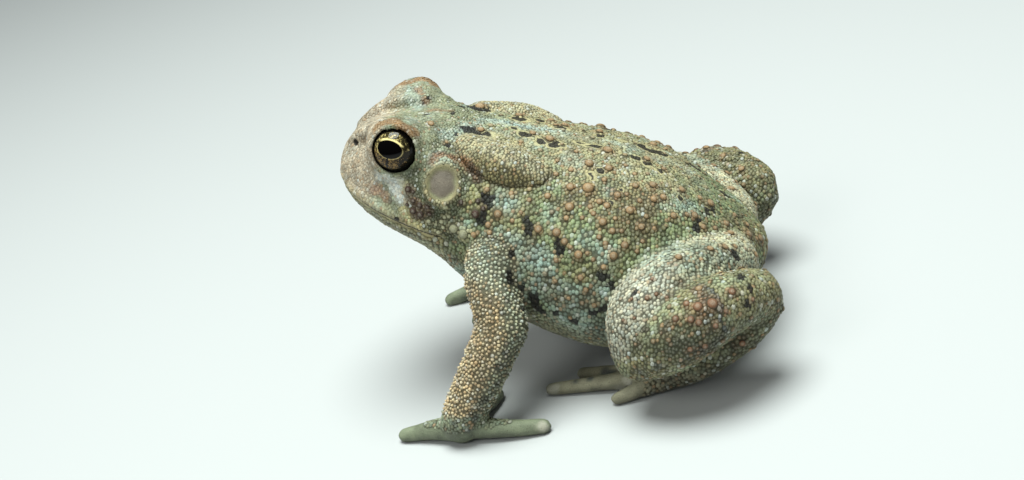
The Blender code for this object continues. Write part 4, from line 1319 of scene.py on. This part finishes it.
# %% [markdown]
# The skin's finish reads the stored colours, paints shade into the gaps between the grains and small
# highlights on their tips, draws the black marks with their cream edge, and speckles everything finely. Its
# gloss is low and broken, because a toad is dry but each grain catches a little light.

# %% The skin's finish
INK_AND_SHADE = (*daylight(24, 21, 18), 1.0)
CREAM = (*daylight(206, 196, 146), 1.0)
SPECK = (*daylight(66, 58, 40), 1.0)
GAP_SHADE = (*daylight(58, 56, 38), 1.0)
RUST = (*daylight(146, 108, 70), 1.0)
GLINT = (*daylight(226, 224, 200), 1.0)

hide = Finish("toad_skin")
tip = hide.attribute("tip")
mark_and_shade = hide.attribute("mark_and_shade")
ground = hide.attribute("paint", "Color")
fine = hide.noise(5200.0, 3.0, 0.6)
finer = hide.noise(11000.0, 2.0, 0.5)
specks = hide.step(fine, 0.42, 0.34)
rusted = hide.mix(hide.attribute("rust"), ground, RUST)
# Painted shade: where the tip level is low, at the feet of the grains and in the skin between them, the
# colour is darkened as if in shadow.
shaded = hide.mix(hide.step(tip, 0.05, 0.55, 0.78, 0.0), rusted, GAP_SHADE)
# Painted highlights: pale glints on the grains' tips, and scattered sparkles where a fine noise is high,
# stand for light caught on moist points.
lit = hide.mix(hide.step(tip, 0.65, 1.05, 0.0, 0.16) + 0.5 * hide.step(finer, 0.6, 0.7) * tip, shaded, GLINT)
speckled = hide.mix(specks * 0.6, lit, SPECK)
edge = mark_and_shade + 0.5 * (fine - 0.5)
outline = hide.step(edge, 0.5, 0.25) * hide.attribute("outlined")
creamed = hide.mix(outline * 0.6, speckled, CREAM)
# The black of the back's marks, and the painted shade of the nostrils and the mouth's crease.
inked_and_shaded = hide.mix(hide.step(edge, 0.12, -0.05) * 0.94, creamed, INK_AND_SHADE)
hide.plug(hide.shader.inputs["Base Color"], inked_and_shaded)
hide.plug(hide.shader.inputs["Roughness"], 0.42 + 0.3 * fine)
bump = hide.node("ShaderNodeBump", None, {"Strength": 0.7, "Distance": 0.00018, "Height": fine + 0.4 * finer})
hide.plug(hide.shader.inputs["Normal"], bump)
hide.shader.inputs["Specular IOR Level"].default_value = 0.45
skin.data.materials.clear()
skin.data.materials.append(hide.material)
for piece in coat:
    piece.data.materials.append(hide.material)
print("nodes in the skin's finish:", len(hide.tree.nodes))

# %% [markdown]
# The iris of an American toad is brassy gold broken by black, brightest just above the pupil. The pupil is
# a level oval with a thin gold rim. All of it is drawn from the place on the ball, measured along and
# across the gaze, under a clear wet coat.

# %% The eyes' finish
PUPIL_HALF = (2.14, 1.46)
PUPIL_SHIFT = (-0.38, 0.42)
IRIS_RADIUS = 3.2
IRIS_SHIFT = (-0.15, 0.1)
FLECK_SCALE = 1500.0
VEIN_SCALE = 3400.0
GOLD = (*daylight(182, 164, 108), 1.0)
BRASS = (*daylight(140, 112, 66), 1.0)
PALE_GOLD = (*daylight(234, 216, 150), 1.0)
EYE_BLACK = (*daylight(7, 6, 6), 1.0)

for side, piece in eyes.items():
    finish = Finish("toad_eye_" + side)
    look = Vector(eye_look[side])
    level = Vector(TAILWARD) - Vector(TAILWARD).dot(look) * look
    level.normalize()
    upright_axis = level.cross(look) * (-1 if side == "right" else 1)
    if upright_axis.z < 0:
        upright_axis = -upright_axis
    middle = Vector(node_middle("eye_" + side))
    from_middle = finish.node("ShaderNodeVectorMath", {"operation": "SUBTRACT"}, {0: finish.place, 1: middle})

    def measured(axis):
        return finish.node(
            "ShaderNodeVectorMath", {"operation": "DOT_PRODUCT"}, {0: from_middle, 1: axis}, "Value"
        ) * (1 / MM)

    back = measured(level)
    high = measured(upright_axis)

    def oval(half_wide, half_high, shift=(0.0, 0.0)):
        wide = (back - shift[0]) / half_wide
        tall = (high - shift[1]) / half_high
        return finish.node("ShaderNodeMath", {"operation": "SQRT"}, {0: wide * wide + tall * tall})

    def size_of(value):
        return finish.node("ShaderNodeMath", {"operation": "ABSOLUTE"}, {0: value})

    flecks = finish.noise(FLECK_SCALE, 4.0, 0.7)
    veins = finish.noise(VEIN_SCALE, 3.0, 0.6)
    pupil = oval(*PUPIL_HALF, PUPIL_SHIFT)
    iris = oval(IRIS_RADIUS, IRIS_RADIUS, IRIS_SHIFT)
    gold = finish.mix(finish.step(high, -1.6, 1.6), BRASS, GOLD)
    net = size_of(flecks - 0.5) + 0.6 * size_of(veins - 0.5)
    crowding = 0.07 * finish.step(back, 0.9, 2.2) - 0.012 * finish.step(high, 0.2, -1.0)
    flecked = finish.mix(finish.step(net - crowding, 0.135, 0.085) * 0.96, gold, EYE_BLACK)
    crescent = finish.step(pupil + 0.3 * (veins - 0.5), 1.3, 1.17)
    crescent = crescent * finish.step(high - 0.35 * size_of(back), 0.5, 1.1)
    crowned = finish.mix(crescent, flecked, PALE_GOLD)
    thread = finish.step(pupil, 1.15, 1.09) * finish.step(high, 1.2, 0.2)
    rimmed = finish.mix(thread * 0.42, crowned, PALE_GOLD)
    slit = finish.step(size_of(back - PUPIL_SHIFT[0] + 0.4 * (veins - 0.5)), 0.2, 0.1)
    slit = slit * finish.step(high, -0.6, -0.9)
    slitted = finish.mix(slit, rimmed, EYE_BLACK)
    holed = finish.mix(finish.step(pupil, 1.07, 1.02), slitted, EYE_BLACK)
    ringed = finish.mix(finish.step(iris + 0.14 * (veins - 0.5), 0.92, 1.02), holed, EYE_BLACK)
    finish.plug(finish.shader.inputs["Base Color"], ringed)
    finish.shader.inputs["Roughness"].default_value = 0.5
    finish.shader.inputs["Specular IOR Level"].default_value = 0.0
    finish.shader.inputs["Coat Weight"].default_value = 0.45
    finish.shader.inputs["Coat Roughness"].default_value = 0.03
    piece.data.materials.append(finish.material)
    print("eye finish", side, len(finish.tree.nodes), "nodes")

# %% [markdown]
# The toad stands on a plain pale floor under one broad soft lamp from above and a weak one from the side,
# much like the shade of a wood. The side lamp and the room don't show in the wet eyes.

# %% Floor and light
floor_mesh = bmesh.new()
bmesh.ops.create_grid(floor_mesh, x_segments=1, y_segments=1, size=3.0)
floor_data = bpy.data.meshes.new("floor")
floor_mesh.to_mesh(floor_data)
floor_mesh.free()
floor = bpy.data.objects.new("floor", floor_data)
bpy.context.scene.collection.objects.link(floor)


def lamp(name, place, aim, size, power, tint):
    data = bpy.data.lights.new(name, "AREA")
    data.shape = "DISK"
    data.size = size
    data.energy = power
    data.color = tint
    obj = bpy.data.objects.new(name, data)
    bpy.context.scene.collection.objects.link(obj)
    obj.location = place
    obj.rotation_euler = (Vector(aim) - Vector(place)).to_track_quat("-Z", "Y").to_euler()
    return obj


TOAD_MIDDLE = (0, 0, 0.02)
FLOOR_GREY = (0.52, 0.53, 0.52, 1.0)
ROOM_TINT = (0.9, 0.96, 1.0, 1.0)
ROOM_LIGHT = 0.24

lamp("sky", (0.0, -0.02, 0.6), TOAD_MIDDLE, 0.4, 6.0, (0.92, 1.0, 0.98))
side_lamp = lamp("side", (-0.3, -0.5, 0.5), TOAD_MIDDLE, 0.35, 1.4, (0.96, 1.0, 0.97))
side_lamp.visible_glossy = False
floor_finish = bpy.data.materials.new("pale_floor")
floor_finish.use_nodes = True
floor_shader = floor_finish.node_tree.nodes["Principled BSDF"]
floor_shader.inputs["Base Color"].default_value = FLOOR_GREY
floor_shader.inputs["Roughness"].default_value = 0.8
floor.data.materials.append(floor_finish)
world = bpy.data.worlds.new("room")
bpy.context.scene.world = world
world.use_nodes = True
background = world.node_tree.nodes["Background"]
background.inputs["Color"].default_value = ROOM_TINT
background.inputs["Strength"].default_value = ROOM_LIGHT
world.cycles_visibility.glossy = False
bpy.context.scene.view_settings.view_transform = "Standard"
